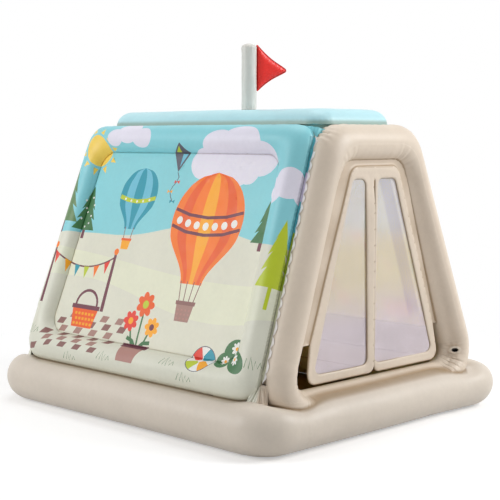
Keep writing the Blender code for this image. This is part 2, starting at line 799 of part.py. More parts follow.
def roof_valve(holder):
    """The valve on the rounded back end of the roof."""
    rise = ROOF_RISE - ROOF_CROWN
    y = ROOF_HALF_Y - ROOF_EDGE * (1 - math.cos(ROOF_VALVE_TILT))
    crest = Vector((0.0, y, WALL_TOP_Z + rise * math.sin(ROOF_VALVE_TILT)))
    out = Vector((0.0, rise * math.cos(ROOF_VALVE_TILT), ROOF_EDGE * math.sin(ROOF_VALVE_TILT)))
    build_valve("roof", holder, crest, out.normalized(), Vector((1.0, 0.0, 0.0)))


def main():
    clear_scene()
    frames = {end: build_end_frame(end) for end in ENDS}
    walls = {side: build_side_wall(side) for side in SIDES}
    ring = build_base([*frames.values(), *walls.values()])
    build_back_sheet()
    for side in SIDES:
        for end in ENDS:
            build_corner_weld(side, end)
    rooms = {}
    for end in ENDS:
        name = end + "_frame_cutter"
        room = tube_loop(name, end_panel(end), frame_corners(end), FRAME_R, GAP)
        rooms[end] = add_cutter(name, room)
    for side in SIDES:
        name = side + "_wall_cutter"
        room = tube_loop(name, side_panel(side), wall_corners(side), WALL_R, GAP)
        rooms[side] = add_cutter(name, room)
    roof = build_roof(rooms.values())
    build_pole()
    build_flag()
    for side in SIDES:
        build_door_half(side, rooms["front"])
    for end, frame in frames.items():
        frame_valve(end, frame)
    for side, wall in walls.items():
        wall_valve(side, wall)
    ring_valve(ring)
    roof_valve(roof)


main()
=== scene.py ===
"""Inflatable play tent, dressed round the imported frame: puffed vinyl, printed walls and a netted door."""

import math

import bmesh
import bpy
import numpy as np
from mathutils import Matrix, Vector
from mathutils.bvhtree import BVHTree
from mathutils.geometry import delaunay_2d_cdt


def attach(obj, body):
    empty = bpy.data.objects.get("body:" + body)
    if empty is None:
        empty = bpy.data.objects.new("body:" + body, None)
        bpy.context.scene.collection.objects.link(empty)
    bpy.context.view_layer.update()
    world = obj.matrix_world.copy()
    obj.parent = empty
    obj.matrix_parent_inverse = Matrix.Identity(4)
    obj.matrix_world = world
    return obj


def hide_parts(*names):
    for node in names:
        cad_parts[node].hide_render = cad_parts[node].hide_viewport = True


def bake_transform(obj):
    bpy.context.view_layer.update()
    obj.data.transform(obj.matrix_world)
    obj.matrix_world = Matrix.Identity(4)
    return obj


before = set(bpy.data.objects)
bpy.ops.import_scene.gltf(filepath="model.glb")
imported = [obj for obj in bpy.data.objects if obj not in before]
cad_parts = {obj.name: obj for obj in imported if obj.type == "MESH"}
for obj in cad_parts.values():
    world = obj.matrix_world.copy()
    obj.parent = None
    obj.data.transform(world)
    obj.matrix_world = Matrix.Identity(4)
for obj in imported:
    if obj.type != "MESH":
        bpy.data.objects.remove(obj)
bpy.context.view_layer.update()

# Sizes of the tent, in metres, the same as the frame's
RING_X = 1.120
RING_Y = 1.270
RING_WIDTH = 0.156
RING_HEIGHT = 0.153
RING_CORNER_R = 0.050
SEAM_OUT_X = 0.017
SEAM_IN_Y = 0.023
SEAM_TOP_X = 0.224
SEAM_TOP_Y = 0.4985
WALL_HEIGHT = 0.750
FRAME_R = 0.057
FRAME_SET_OUT = 0.010
SILL_RISE = 0.010
FRAME_TOP_CORNER_R = 0.100
FRAME_FOOT_CORNER_R = 0.095
WALL_R = 0.048
WALL_SINK = 0.014
WALL_CORNER_R = 0.055
WELD_CORNER_R = 0.060
FILM_SET_OUT = 0.014
ROOF_HALF_X = 0.176
ROOF_HALF_Y = 0.482
ROOF_RISE = 0.0475
ROOF_SINK = 0.041
ROOF_EDGE = 0.055
ROOF_UNDER_EDGE = 0.030
ROOF_CORNER_R = 0.070
ROOF_HEM = 0.012
POLE_X = 0.010
POLE_Y = -0.010
POLE_R = 0.0245
POLE_LENGTH = 0.215
FLAG_HEIGHT = 0.155
FLAG_LENGTH = 0.107
FLAG_THICK = 0.020
FLAG_TIP_SHARE = 0.54
FLAG_DROP = 0.002
FLAG_TURN = math.radians(-30.0)
FLAG_CORNER_R = 0.008
DOOR_SET_BACK = 0.007
DOOR_INNER_X = 0.133
DOOR_LEAN = 0.368
DOOR_TOP_Z = 0.735
SLIT_TOP_Z = 0.738
SLIT_GAP = 0.0016
WELD_LOW_Z = 0.283
DOOR_HEM_GAP = 0.003
DOOR_CORNER_R = 0.032
SLIT_CORNER_R = 0.026
PANE_TOP_RISE = 0.005
PANE_HEM = 0.029
PANE_SIDE = 0.033
PANE_CORNER_R = 0.020
CORNER_X = {"left": 0.296, "right": 0.327}
FREE_TOP_X = {"left": 0.283, "right": 0.298}
SLIT_HEM_TOP = {"left": 0.040, "right": 0.017}
SLIT_HEM_LOW = {"left": 0.028, "right": 0.009}
VALVE_OVAL = 0.62
VALVE_FLANGE_R = 0.020
VALVE_CUP_R = 0.0125
VALVE_BORE_R = 0.0110
VALVE_DEPTH = 0.020
VALVE_SINK = 0.0015
FRAME_VALVE_Z = 0.205
FRAME_VALVE_TURN = math.radians(222.0)
WALL_VALVE_Z = 0.400
RING_VALVE_X = 0.250
RING_VALVE_TILT = math.radians(20.0)
ROOF_VALVE_TILT = math.radians(45.0)
GAP = 0.0003
MIN_CORNER_R = 0.004
RING_GIVE = {"frame": 0.018, "wall": 0.007}
RING_GIVE_REACH = {"frame": 0.030, "wall": 0.016}
SILL_GIVE = 0.45
SILL_SPAN = (0.24, 0.18)
SLACK_REACH = 0.26
LEG_PULL = 0.015
SILL_SINK = 0.004
RING_SPREAD = 0.018
RING_SAG = 0.012
SCALLOP_PITCH = 0.034
WEB_LOW_Z = 0.765
WEB_TOP_Z = 0.896
WEB_LID = 0.050
WEB_LID_FROM = 0.7
PLEAT_Z = 0.888
PLEAT_DEEP = 0.0062
UPPER_V = 0.3
FRAME_CORNER_CUT = 0.055
WALL_CORNER_CUT = (0.034, 0.042)
GUSSET_LOW_Z = 0.138
GUSSET_TOP_Z = 0.196
LEG_PULL_TURN = math.radians(135.0)
LEG_PULL_SPAN = math.radians(62.0)
LEAF_TOP_Z = 0.782
LEAF_CORNER_R = 0.042
LEAF_INSET = {"left": 0.013, "right": 0.005}
LEAF_LIP = 0.003
LEAF_RISE = 0.0032
BAND_SUNK = 0.003
STITCH_IN = 0.0045
SLIT_CURL = 0.006
OVER_X = -0.080
FOLD_SPREAD = 0.016
NET_UNDER = 0.0035
STRIP_BACK = 0.010
FILM_THICK = {"floor": 0.0010, "strip": 0.0009, "corner": 0.0010}

RING_MID_X = (RING_X - RING_WIDTH) / 2
RING_MID_Y = (RING_Y - RING_WIDTH) / 2
FRAME_LOW_Z = RING_HEIGHT + SILL_RISE - FRAME_R
WALL_TOP_Z = RING_HEIGHT + WALL_HEIGHT
FRAME_TOP_Z = WALL_TOP_Z - FRAME_R
WALL_LOW_Z = RING_HEIGHT - WALL_SINK + WALL_R
WALL_HIGH_Z = WALL_TOP_Z - WALL_R
SEAM_LOW_X = RING_MID_X + SEAM_OUT_X
SEAM_LOW_Y = RING_MID_Y - SEAM_IN_Y
LEG_LEAN = math.atan((SEAM_LOW_X - SEAM_TOP_X) / (FRAME_TOP_Z - FRAME_LOW_Z))
FRAME_IN = math.sqrt(FRAME_R ** 2 - FRAME_SET_OUT ** 2) / math.cos(LEG_LEAN)
ROOF_TOP_Z = WALL_TOP_Z + ROOF_RISE
DOOR_Y = -(SEAM_LOW_Y + FRAME_SET_OUT - DOOR_SET_BACK)
DOOR_LOW_Z = RING_HEIGHT + SILL_RISE + DOOR_HEM_GAP
HEADER_Z = FRAME_TOP_Z - FRAME_R * 0.6
PANE_TOP_Z = SLIT_TOP_Z + PANE_TOP_RISE
WRAP = math.pi * WALL_R
SIDES = {"left": -1, "right": 1}
ENDS = {"front": -1, "back": 1}

# The camera, fitted to the photograph
CAMERA_TURN = math.radians(-45.31)
CAMERA_RISE = math.radians(5.34)
CAMERA_AWAY = 3.950
CAMERA_SIDE = 0.0173
CAMERA_HEIGHT = 0.4978
CAMERA_LENS = 86.97
SENSOR = 36.0

# The studio: lights as name, place, height of the aim, size and power
LIGHTS = (("key", (2.1, -3.1, 2.7), 0.45, 2.4, 118.0),
          ("fill", (-3.6, 1.8, 2.1), 0.45, 2.8, 81.0),
          ("top", (0.3, 0.5, 4.2), 0.50, 3.0, 44.0))
PURE = (1.0, 1.0, 1.0)
STAGE_HALF = 14.0
STAGE_TONE = (0.74, 0.74, 0.74)
STAGE_LIFT = 0.42
STAGE_FADE = (0.75, 1.7)
WORLD_LIGHT = 0.28

# Weld distances stop at FAR, a point within JOINED of a line lies on it, and long sums go in blocks
FAR = 0.05
JOINED = 1e-6
TINY = 1e-9
BLOCK = 4000
# Weld distances for the darkest painted shade, for no darkening, and the spread of painted contact shade per
# metre of gap
FULL_SHADE_GAP = 0.0001
UNDARKENED_GAP = 0.010
CONTACT_DARK = 0.35


def make_camera():
    back = Vector((math.sin(CAMERA_TURN) * math.cos(CAMERA_RISE),
                   -math.cos(CAMERA_TURN) * math.cos(CAMERA_RISE), math.sin(CAMERA_RISE)))
    right = Vector((math.cos(CAMERA_TURN), math.sin(CAMERA_TURN), 0.0))
    matrix = Matrix((right, back.cross(right), back)).transposed().to_4x4()
    matrix.translation = right * CAMERA_SIDE + Vector((0, 0, CAMERA_HEIGHT)) + back * CAMERA_AWAY
    data = bpy.data.cameras.new("camera")
    data.sensor_width = SENSOR
    data.lens = CAMERA_LENS
    data.clip_end = 60.0
    camera = bpy.data.objects.new("camera", data)
    bpy.context.scene.collection.objects.link(camera)
    camera.matrix_world = matrix
    bpy.context.scene.camera = camera


make_camera()


# Colours, written as they look on screen
def shade(red, green, blue):
    """A screen colour from 0 to 255 as a linear one."""
    out = []
    for part in (red, green, blue):
        c = part / 255.0
        out.append(c / 12.92 if c <= 0.04045 else ((c + 0.055) / 1.055) ** 2.4)
    return tuple(out)


CREAM = shade(224, 209, 191)
RING_CREAM = shade(218, 207, 193)
INSIDE = shade(247, 226, 112)
# Inner faces of the wall tubes: dark brown painted shade
INSIDE_TUBE_SHADE = shade(138, 118, 92)
ROOF_AQUA = shade(190, 234, 242)
POLE_WHITE = shade(221, 219, 212)
FLAG_RED = shade(252, 46, 38)
# The netting's tints paint the inside seen through it: lavender painted shade low down, lit cream above,
# paler at the top, and a darker band of painted shade
NET_LAVENDER = shade(241, 229, 237)
NET_CREAM = shade(241, 230, 210)
NET_TOP = shade(242, 236, 238)
NET_SHADE_BAND = (-0.19, -0.21, -0.11)
SUN = shade(250, 214, 92)
PATH = shade(229, 231, 208)
SCALLOP_PALE = shade(255, 250, 248)
SKY = shade(140, 213, 223)
CLOUD = shade(234, 231, 245)
GROUND = shade(224, 224, 208)
TEAL = shade(28, 150, 172)
LIGHT_BLUE = shade(110, 192, 216)
ORANGE = shade(248, 122, 24)
DEEP_ORANGE = shade(234, 92, 16)
AMBER = shade(252, 172, 30)
LIME = shade(190, 206, 44)
GREEN = shade(50, 108, 58)
OLIVE = shade(96, 131, 82)
MAROON = shade(104, 42, 60)
ROSE = shade(178, 130, 120)
RED = shade(228, 58, 38)
SLATE = shade(84, 84, 98)
BROWN = shade(166, 126, 116)
DEEP_BROWN = shade(134, 90, 84)
WHITE = shade(242, 242, 238)


# Nodes
class Graph:
    """The node tree of a material or world, with short ways to add and join nodes."""

    def __init__(self, owner, end="ShaderNodeOutputMaterial"):
        owner.use_nodes = True
        self.owner, self.tree = owner, owner.node_tree
        self.tree.nodes.clear()
        self.out = self.tree.nodes.new(end)

    def add(self, kind, inputs=None, **props):
        node = self.tree.nodes.new(kind)
        for key, value in props.items():
            setattr(node, key, value)
        for key, value in (inputs or {}).items():
            self.put(node.inputs[key], value)
        return node

    def put(self, socket, value):
        if isinstance(value, bpy.types.NodeSocket):
            self.tree.links.new(value, socket)
        elif isinstance(value, tuple) and socket.type == "RGBA":
            socket.default_value = (*value, 1.0)[:4]
        else:
            socket.default_value = value

    def maths(self, operation, first, second=0.0, third=0.0):
        return self.add("ShaderNodeMath", {0: first, 1: second, 2: third}, operation=operation).outputs[0]

    def vector(self, operation, first, second, third=(0.0, 0.0, 0.0)):
        return self.add("ShaderNodeVectorMath", {0: first, 1: second, 2: third},
                        operation=operation).outputs[0]

    def ramp(self, value, low, high, to_low=0.0, to_high=1.0):
        return self.add("ShaderNodeMapRange", {"Value": value, "From Min": low, "From Max": high,
                                               "To Min": to_low, "To Max": to_high},
                        interpolation_type="SMOOTHSTEP").outputs["Result"]

    def noise(self, where, scale, detail=2.0, rough=0.5, twist=0.0):
        return self.add("ShaderNodeTexNoise", {"Vector": where, "Scale": scale, "Detail": detail,
                                               "Roughness": rough, "Distortion": twist}).outputs["Fac"]

    def times(self, colour, value):
        return self.add("ShaderNodeVectorMath", {0: colour, 3: value}, operation="SCALE").outputs[0]

    def bump(self, height, distance, strength, before=None):
        node = self.add("ShaderNodeBump", {"Height": height, "Distance": distance, "Strength": strength})
        if before is not None:
            self.put(node.inputs["Normal"], before)
        return node.outputs["Normal"]

    def both(self, first, second, share=None):
        """One shader added to another, or mixed with it by a share."""
        if share is None:
            return self.add("ShaderNodeAddShader", {0: first, 1: second}).outputs[0]
        return self.add("ShaderNodeMixShader", {0: share, 1: first, 2: second}).outputs[0]

    def close(self, shader):
        self.put(self.out.inputs["Surface"], shader)
        return self.owner

    def seen(self):
        """1 for what the camera sees straight, in gloss or through the netting, and 0 for other light."""
        path = self.add("ShaderNodeLightPath").outputs
        straight = self.maths("MAXIMUM", path["Is Camera Ray"], path["Is Glossy Ray"])
        return self.maths("MAXIMUM", straight, path["Is Transmission Ray"])


def vinyl(name, colour=None, rough=0.43, wrinkle=0.30, through=0.0, keep=1.0, glow=0.10):
    """Welded vinyl film: soft gloss, slow waves, fine creases near its welds, and darkening along them that
    is partly dust and partly painted shade in grooves and contacts.
    """
    g = Graph(bpy.data.materials.new(name))
    where = g.add("ShaderNodeTexCoord").outputs["Object"]
    weld = g.add("ShaderNodeAttribute", attribute_name="weld").outputs["Fac"]
    if colour is None:
        base = g.add("ShaderNodeAttribute", attribute_name="print").outputs["Color"]
    else:
        base = g.add("ShaderNodeRGB").outputs[0]
        base.default_value = (*colour, 1.0)
    # Near a weld or a contact the colour darkens: partly dust in the weld, partly painted shade of the groove
    # and of the line where skins touch
    dust_and_shade_tint = (0.86, 0.83, 0.79) if colour is None else (0.56, 0.47, 0.36)
    undarkened_share = tuple(1.0 - part for part in dust_and_shade_tint)
    tone = g.ramp(g.noise(where, 4.0, 3.0, 0.6), 0.30, 0.70, 0.965, 1.02)
    edge = g.ramp(g.noise(where, 70.0, 4.0, 0.65), 0.35, 0.65, 0.985, 1.01)
    dust_and_shade = g.vector("MULTIPLY_ADD", g.ramp(weld, 0.0002, 0.0036), undarkened_share, dust_and_shade_tint)
    tint = g.vector("MULTIPLY", g.times(g.times(base, tone), edge), dust_and_shade)
    near = g.ramp(weld, 0.0, 0.045, 1.0, 0.25)
    groove = g.bump(g.ramp(weld, 0.0, 0.0028), 0.0012, 0.8)
    folds = g.bump(g.maths("MULTIPLY", g.noise(where, 22.0, 3.0, 0.5, 0.6), near), 0.006, wrinkle, groove)
    grain = g.bump(g.noise(where, 900.0, 2.0), 0.0002, 0.35, folds)
    gloss = g.ramp(g.noise(where, 35.0, 3.0), 0.3, 0.7, rough - 0.05, rough + 0.07)
    shader = g.add("ShaderNodeBsdfPrincipled",
                   {"Base Color": g.times(tint, keep), "Roughness": gloss, "Normal": grain, "IOR": 1.48,
                    "Coat Weight": 0.12, "Coat Roughness": 0.30, "Specular IOR Level": 0.42}).outputs[0]
    if through:
        pale = g.vector("MULTIPLY_ADD", tint, (1.0 - glow,) * 3, tuple(glow * c for c in INSIDE))
        lit = g.add("ShaderNodeBsdfTranslucent", {"Color": g.times(pale, through), "Normal": grain})
        shader = g.both(shader, lit.outputs[0])
    return g.close(shader)


def netting(name):
    """Fine knitted netting, tinted by height with painted light and shade of the tent's inside seen through
    it, and a band of painted shade along the right pane's outer side.
    """
    g = Graph(bpy.data.materials.new(name))
    where = g.add("ShaderNodeTexCoord").outputs["Object"]
    x, _, z = g.add("ShaderNodeSeparateXYZ", {0: where}).outputs
    pitch, thread = 0.0021, 0.00049
    wobble = g.maths("MULTIPLY", g.noise(where, 160.0, 2.0), 0.0004)
    down, over = (g.maths("LESS_THAN", g.maths("PINGPONG", g.maths("ADD", place, wobble), pitch / 2), thread)
                  for place in (x, z))
    tone = g.ramp(g.noise(where, 9.0, 2.0), 0.3, 0.7, 0.95, 1.03)
    rgb = NET_LAVENDER
    for (low_z, high_z), under, tint in (((0.30, 0.46), NET_LAVENDER, NET_CREAM),
                                         ((0.52, 0.63), NET_CREAM, NET_TOP)):
        more = tuple(high - low for high, low in zip(tint, under))
        rgb = g.vector("MULTIPLY_ADD", g.ramp(z, low_z, high_z), more, rgb)
    inward = g.maths("SUBTRACT", g.maths("MULTIPLY_ADD", z, *NET_EDGE), x)
    shade_band = g.maths("MULTIPLY", g.ramp(inward, 0.012, 0.024), g.ramp(inward, 0.066, 0.080, 1.0, 0.0))
    shade_band = g.maths("MULTIPLY", shade_band, g.ramp(z, 0.30, 0.35))
    rgb = g.vector("MULTIPLY", rgb, g.vector("MULTIPLY_ADD", shade_band, NET_SHADE_BAND, (1.0, 1.0, 1.0)))
    cord = g.bump(g.noise(where, 1500.0, 1.0), 0.0001, 0.4)
    cloth = g.add("ShaderNodeBsdfPrincipled", {"Base Color": g.times(rgb, tone), "Roughness": 0.62,
                                               "Sheen Weight": 0.35, "Normal": cord})
    clear = g.add("ShaderNodeBsdfTransparent")
    return g.close(g.both(clear.outputs[0], cloth.outputs[0], g.maths("MAXIMUM", down, over)))


PANE_LOW_EDGE = (CORNER_X["right"] - PANE_SIDE, DOOR_LOW_Z + PANE_HEM)
PANE_TOP_EDGE = (DOOR_INNER_X + (DOOR_TOP_Z - PANE_TOP_Z) * DOOR_LEAN - PANE_SIDE, PANE_TOP_Z)
NET_SLOPE = (PANE_TOP_EDGE[0] - PANE_LOW_EDGE[0]) / (PANE_TOP_EDGE[1] - PANE_LOW_EDGE[1])
NET_EDGE = (NET_SLOPE, PANE_LOW_EDGE[0] - NET_SLOPE * PANE_LOW_EDGE[1])

MAT = {
    "cream": vinyl("cream_vinyl", CREAM),
    "ring": vinyl("ring_vinyl", RING_CREAM, wrinkle=0.22),
    "film": vinyl("cream_film", CREAM, through=0.25, keep=0.9),
    "print": vinyl("print_vinyl"),
    "print_film": vinyl("print_film", through=0.20),
    "lining": vinyl("lining_film", through=0.80, keep=0.30, glow=0.85),
    "roof": vinyl("roof_vinyl", ROOF_AQUA, rough=0.40),
    "pole": vinyl("pole_vinyl", POLE_WHITE, rough=0.38),
    "flag": vinyl("flag_vinyl", FLAG_RED, rough=0.30),
    # The floor's dark brown is painted shade: the inside of the tent in deep shadow
    "floor": vinyl("floor_shade_vinyl", shade(122, 94, 62), rough=0.45, wrinkle=0.5),
    "valve": vinyl("valve_vinyl", shade(228, 216, 200), rough=0.28),
    # Near black: the plug's dark vinyl, also used as painted shade in the valve's bore
    "plug": vinyl("plug_vinyl", shade(26, 22, 20), rough=0.40),
    "net": netting("netting"),
}


# Flat drawing
def line_crossing(point_a, dir_a, point_b, dir_b):
    across = dir_a.x * dir_b.y - dir_a.y * dir_b.x
    reach = ((point_b.x - point_a.x) * dir_b.y - (point_b.y - point_a.y) * dir_b.x) / across
    return point_a + dir_a * reach


def grown_corners(corners, grow):
    """Move every edge of an anticlockwise outline outwards by the same distance."""
    points = [Vector(corner[:2]) for corner in corners]
    count = len(points)
    lines = []
    for index, point in enumerate(points):
        along = (points[(index + 1) % count] - point).normalized()
        lines.append((point + grow * Vector((along.y, -along.x)), along))
    moved = []
    for index, corner in enumerate(corners):
        before, along_before = lines[index - 1]
        after, along_after = lines[index]
        place = line_crossing(before, along_before, after, along_after)
        moved.append((place.x, place.y, max(corner[2] + grow, MIN_CORNER_R)))
    return moved


def arcs(corners, steps):
    """The rounded corners of an outline, each as a list of points."""
    found = []
    count = len(corners)
    for index, (u, v, radius) in enumerate(corners):
        corner = Vector((u, v))
        if radius == 0.0:
            found.append([corner])
            continue
        to_last = (Vector(corners[index - 1][:2]) - corner).normalized()
        to_next = (Vector(corners[(index + 1) % count][:2]) - corner).normalized()
        half = to_last.angle(to_next) / 2
        centre = corner + (to_last + to_next).normalized() * radius / math.sin(half)
        start = corner + to_last * radius / math.tan(half) - centre
        turn = math.pi - 2 * half
        if start.cross(corner + to_next * radius / math.tan(half) - centre) < 0:
            turn = -turn
        found.append([centre + Matrix.Rotation(turn * step / steps, 2) @ start
                      for step in range(steps + 1)])
    return found


def run_counts(corners, steps, pitch):
    """How many steps each straight run takes."""
    rounds = arcs(corners, steps)
    counts = []
    for index, bend in enumerate(rounds):
        after = rounds[(index + 1) % len(rounds)][0]
        counts.append(max(1, round((after - bend[-1]).length / pitch)))
    return counts


def outline(corners, steps, counts):
    """The points of a rounded outline with its straight runs divided."""
    rounds = arcs(corners, steps)
    points = []
    for index, bend in enumerate(rounds):
        points += bend
        after = rounds[(index + 1) % len(rounds)][0]
        for step in range(1, counts[index]):
            points.append(bend[-1].lerp(after, step / counts[index]))
    return np.array([tuple(p) for p in points])


def drawn(corners, steps=8, pitch=0.009):
    return outline(corners, steps, run_counts(corners, steps, pitch))


def size_of(loop):
    """A flat outline's width and height."""
    return tuple(float(part) for part in loop.max(0) - loop.min(0))


def polygon_area(loop):
    x, y = loop[:, 0], loop[:, 1]
    return float(abs((x * np.roll(y, -1) - y * np.roll(x, -1)).sum() / 2))


def box_corners(half_u, half_v, radius):
    return [(-half_u, -half_v, radius), (half_u, -half_v, radius),
            (half_u, half_v, radius), (-half_u, half_v, radius)]


def inside(polygon, points):
    """Which points lie in a polygon."""
    found = np.zeros(len(points), bool)
    low, high = polygon.min(0), polygon.max(0)
    near = np.all((points >= low) & (points <= high), axis=1)
    x, y = points[near, 0], points[near, 1]
    hit = np.zeros(len(x), bool)
    last = polygon[-1]
    for spot in polygon:
        crosses = (spot[1] > y) != (last[1] > y)
        rise = last[1] - spot[1]
        if rise != 0.0:
            hit ^= crosses & (x < (last[0] - spot[0]) * (y - spot[1]) / rise + spot[0])
        last = spot
    found[near] = hit
    return found


def apart(first, second):
    """The distance from every point of one set to every point of another."""
    return np.hypot(*(first[:, None, :] - second[None]).transpose(2, 0, 1))


def in_blocks(count, work):
    """The results of work over slices of a long row, joined."""
    parts = [work(slice(low, low + BLOCK)) for low in range(0, max(count, 1), BLOCK)]
    return tuple(np.concatenate(column) for column in zip(*parts))


def nearest(polygon, points):
    """For each point: the nearest place on a closed outline, how far along it that is, and the distance."""
    step = np.roll(polygon, -1, axis=0) - polygon
    length = np.maximum(np.hypot(step[:, 0], step[:, 1]), 1e-12)
    along = np.concatenate([[0.0], np.cumsum(length)[:-1]])

    def work(part):
        block = points[part]
        share = ((block[:, None, :] - polygon[None]) * step[None]).sum(2) / length[None] ** 2
        share = np.clip(share, 0.0, 1.0)
        spots = polygon[None] + share[..., None] * step[None]
        gap = np.hypot(*(block[:, None, :] - spots).transpose(2, 0, 1))
        best = gap.argmin(1)
        rows = np.arange(len(block))
        return spots[rows, best], along[best] + share[rows, best] * length[best], gap[rows, best]

    return in_blocks(len(points), work)


def ray_reach(polygon, points, ways):
    """How far each point lies from a closed outline along its own way."""
    step = np.roll(polygon, -1, axis=0) - polygon

    def work(part):
        rel = polygon[None] - points[part, None, :]
        way = ways[part, None, :]
        cross = way[..., 0] * step[None, :, 1] - way[..., 1] * step[None, :, 0]
        cross = np.where(np.abs(cross) < 1e-12, 1e-12, cross)
        far = (rel[..., 0] * step[None, :, 1] - rel[..., 1] * step[None, :, 0]) / cross
        share = (rel[..., 0] * way[..., 1] - rel[..., 1] * way[..., 0]) / cross
        hit = (share > -1e-6) & (share < 1 + 1e-6) & (far > 0)
        return (np.where(hit, far, np.inf).min(1),)

    return in_blocks(len(points), work)[0]


def smooth(x):
    x = np.clip(x, 0.0, 1.0)
    return x * x * (3.0 - 2.0 * x)


def bell(x, width):
    """1 at nothing, and close to 0 past twice the width."""
    return np.exp(-(x / width) ** 2)


def arched(away, reach):
    """A quarter round: 0 at the edge, and 1 from reach inwards."""
    return np.sqrt(np.maximum(1.0 - (1.0 - np.minimum(away / reach, 1.0)) ** 2, 0.0))


def ticks(run, pitch, bend, slow):
    """Sharp uneven ridges along a line, 1 at their crests."""
    return 1.0 - np.abs(np.sin(math.pi * run / pitch + bend * np.sin(run * slow)))


def ripple(s, seed, scale=1.0):
    """Uneven puckers along a weld, from about -1 to 1."""
    a = np.cos(2 * np.pi * s / (0.031 * scale) + seed + 1.7 * np.sin(s * 9.1 + seed))
    b = np.cos(2 * np.pi * s / (0.019 * scale) + 2.3 * seed + 1.1 * np.sin(s * 14.3))
    c = 0.62 + 0.38 * np.sin(s * 17.0 + 3.1 * seed) * np.sin(s * 5.3 + seed)
    return (0.66 * a + 0.34 * b) * c


def billow(u, v, seed):
    """Slow uneven waves over a sheet, from about -1 to 1."""
    return (0.45 * np.sin(9.0 * u + 4.0 * v + seed) + 0.35 * np.sin(15.0 * v - 7.0 * u + 2.1 * seed)
            + 0.20 * np.sin(27.0 * u + 21.0 * v + 0.7 * seed))


class Panel:
    """A flat plane in the tent, with places given across it, up its slope and out of it."""

    def __init__(self, base, across, up):
        self.base = np.array(base, float)
        self.across = np.array(Vector(across).normalized())
        self.up = np.array(Vector(up).normalized())
        self.out = np.cross(self.across, self.up)

    def slope(self, z):
        return (z - self.base[2]) / self.up[2]

    def at(self, flat, out):
        flat = np.asarray(flat)
        return (self.base + flat[:, :1] * self.across + flat[:, 1:] * self.up
                + np.broadcast_to(out, len(flat))[:, None] * self.out)

    def flat(self, points):
        rel = points - self.base
        return np.stack([rel @ self.across, rel @ self.up], 1), rel @ self.out


class Tube:
    """An air tube that follows a rounded outline in a panel."""

    def __init__(self, panel, corners, wide, deep, pitch=0.008, steps=14):
        self.panel, self.corners = panel, corners
        self.wide, self.deep, self.steps = wide, deep, steps
        self.counts = run_counts(corners, steps, pitch)
        self.centre = self.level(0.0)
        step = np.roll(self.centre, -1, axis=0) - self.centre
        self.along = np.concatenate([[0.0], np.cumsum(np.hypot(step[:, 0], step[:, 1]))[:-1]])
        self.bends = self.centre[apart(np.array(corners)[:, :2], self.centre).argmin(1)]

    def level(self, reach):
        return outline(grown_corners(self.corners, reach), self.steps, self.counts)

    def ring(self, angle, grow=0.0):
        flat = self.level((self.wide + grow) * math.cos(angle))
        return self.panel.at(flat, (self.deep + grow) * math.sin(angle))

    def clear(self, points, gap=GAP):
        """Push points that lie in the tube out to its surface."""
        flat, out = self.panel.flat(points)
        place, _, away = nearest(self.centre, flat)
        side = (flat - place) / np.maximum(away, TINY)[:, None]
        size = np.maximum(np.hypot(away / (self.wide + gap), out / (self.deep + gap)), 1e-6)
        moved = self.panel.at(place + side * (away / size)[:, None], out / size)
        return np.where(size[:, None] < 1.0, moved, points)

    def off(self, points):
        """How far points lie from the tube's surface, outside it."""
        flat, out = self.panel.flat(points)
        _, _, away = nearest(self.centre, flat)
        return (np.hypot(away / self.wide, out / self.deep) - 1.0) * (self.wide + self.deep) / 2

    def corner_share(self, flat, reach=0.16):
        """1 at the outline's corners, falling to 0 away from them."""
        return smooth(1.0 - apart(flat, self.bends).min(1) / reach)


def seam_share(z):
    return (z - FRAME_LOW_Z) / (FRAME_TOP_Z - FRAME_LOW_Z)


def seam_x(z):
    return SEAM_LOW_X + seam_share(z) * (SEAM_TOP_X - SEAM_LOW_X)


def seam_y(z):
    return SEAM_LOW_Y + seam_share(z) * (SEAM_TOP_Y - SEAM_LOW_Y)


def seam_point(side, end, z):
    return Vector((SIDES[side] * seam_x(z), ENDS[end] * seam_y(z), z))


def leg_centre(side, end, z):
    return Vector((SIDES[side] * (seam_x(z) - FRAME_IN), ENDS[end] * (seam_y(z) + FRAME_SET_OUT), z))


def post_centre(side, end, z):
    return Vector((SIDES[side] * seam_x(z), ENDS[end] * (seam_y(z) - WALL_R), z))


def seam_direction(side, end):
    return (seam_point(side, end, FRAME_TOP_Z) - seam_point(side, end, FRAME_LOW_Z)).normalized()


def corner_normal(side, end):
    """The way from an end frame to the wall beside it, square to their shared seam."""
    along = seam_direction(side, end)
    towards = post_centre(side, end, FRAME_LOW_Z) - leg_centre(side, end, FRAME_LOW_Z)
    return (towards - towards.dot(along) * along).normalized()


def leaning_tube(low, top, across, half_low, half_top, low_r, top_r, radius, **fine):
    """A round tube along a leaning trapezoid, from the middles of its lower and upper sides."""
    panel = Panel(low, across, top - low)
    top_v = panel.slope(top.z)
    corners = [(-half_low, 0.0, low_r), (half_low, 0.0, low_r), (half_top, top_v, top_r),
               (-half_top, top_v, top_r)]
    return Tube(panel, corners, radius, radius, **fine)


def end_tube(end):
    sign = ENDS[end]
    low, top = (Vector((0.0, sign * (seam_y(z) + FRAME_SET_OUT), z)) for z in (FRAME_LOW_Z, FRAME_TOP_Z))
    return leaning_tube(low, top, (-sign, 0.0, 0.0), seam_x(FRAME_LOW_Z) - FRAME_IN,
                        seam_x(FRAME_TOP_Z) - FRAME_IN, FRAME_FOOT_CORNER_R, FRAME_TOP_CORNER_R, FRAME_R,
                        steps=40)


def wall_tube(side):
    sign = SIDES[side]
    low, top = (Vector((sign * seam_x(z), 0.0, z)) for z in (WALL_LOW_Z, WALL_HIGH_Z))
    return leaning_tube(low, top, (0.0, sign, 0.0), seam_y(WALL_LOW_Z) - WALL_R,
                        seam_y(WALL_HIGH_Z) - WALL_R, WALL_CORNER_R, WALL_CORNER_R, WALL_R)


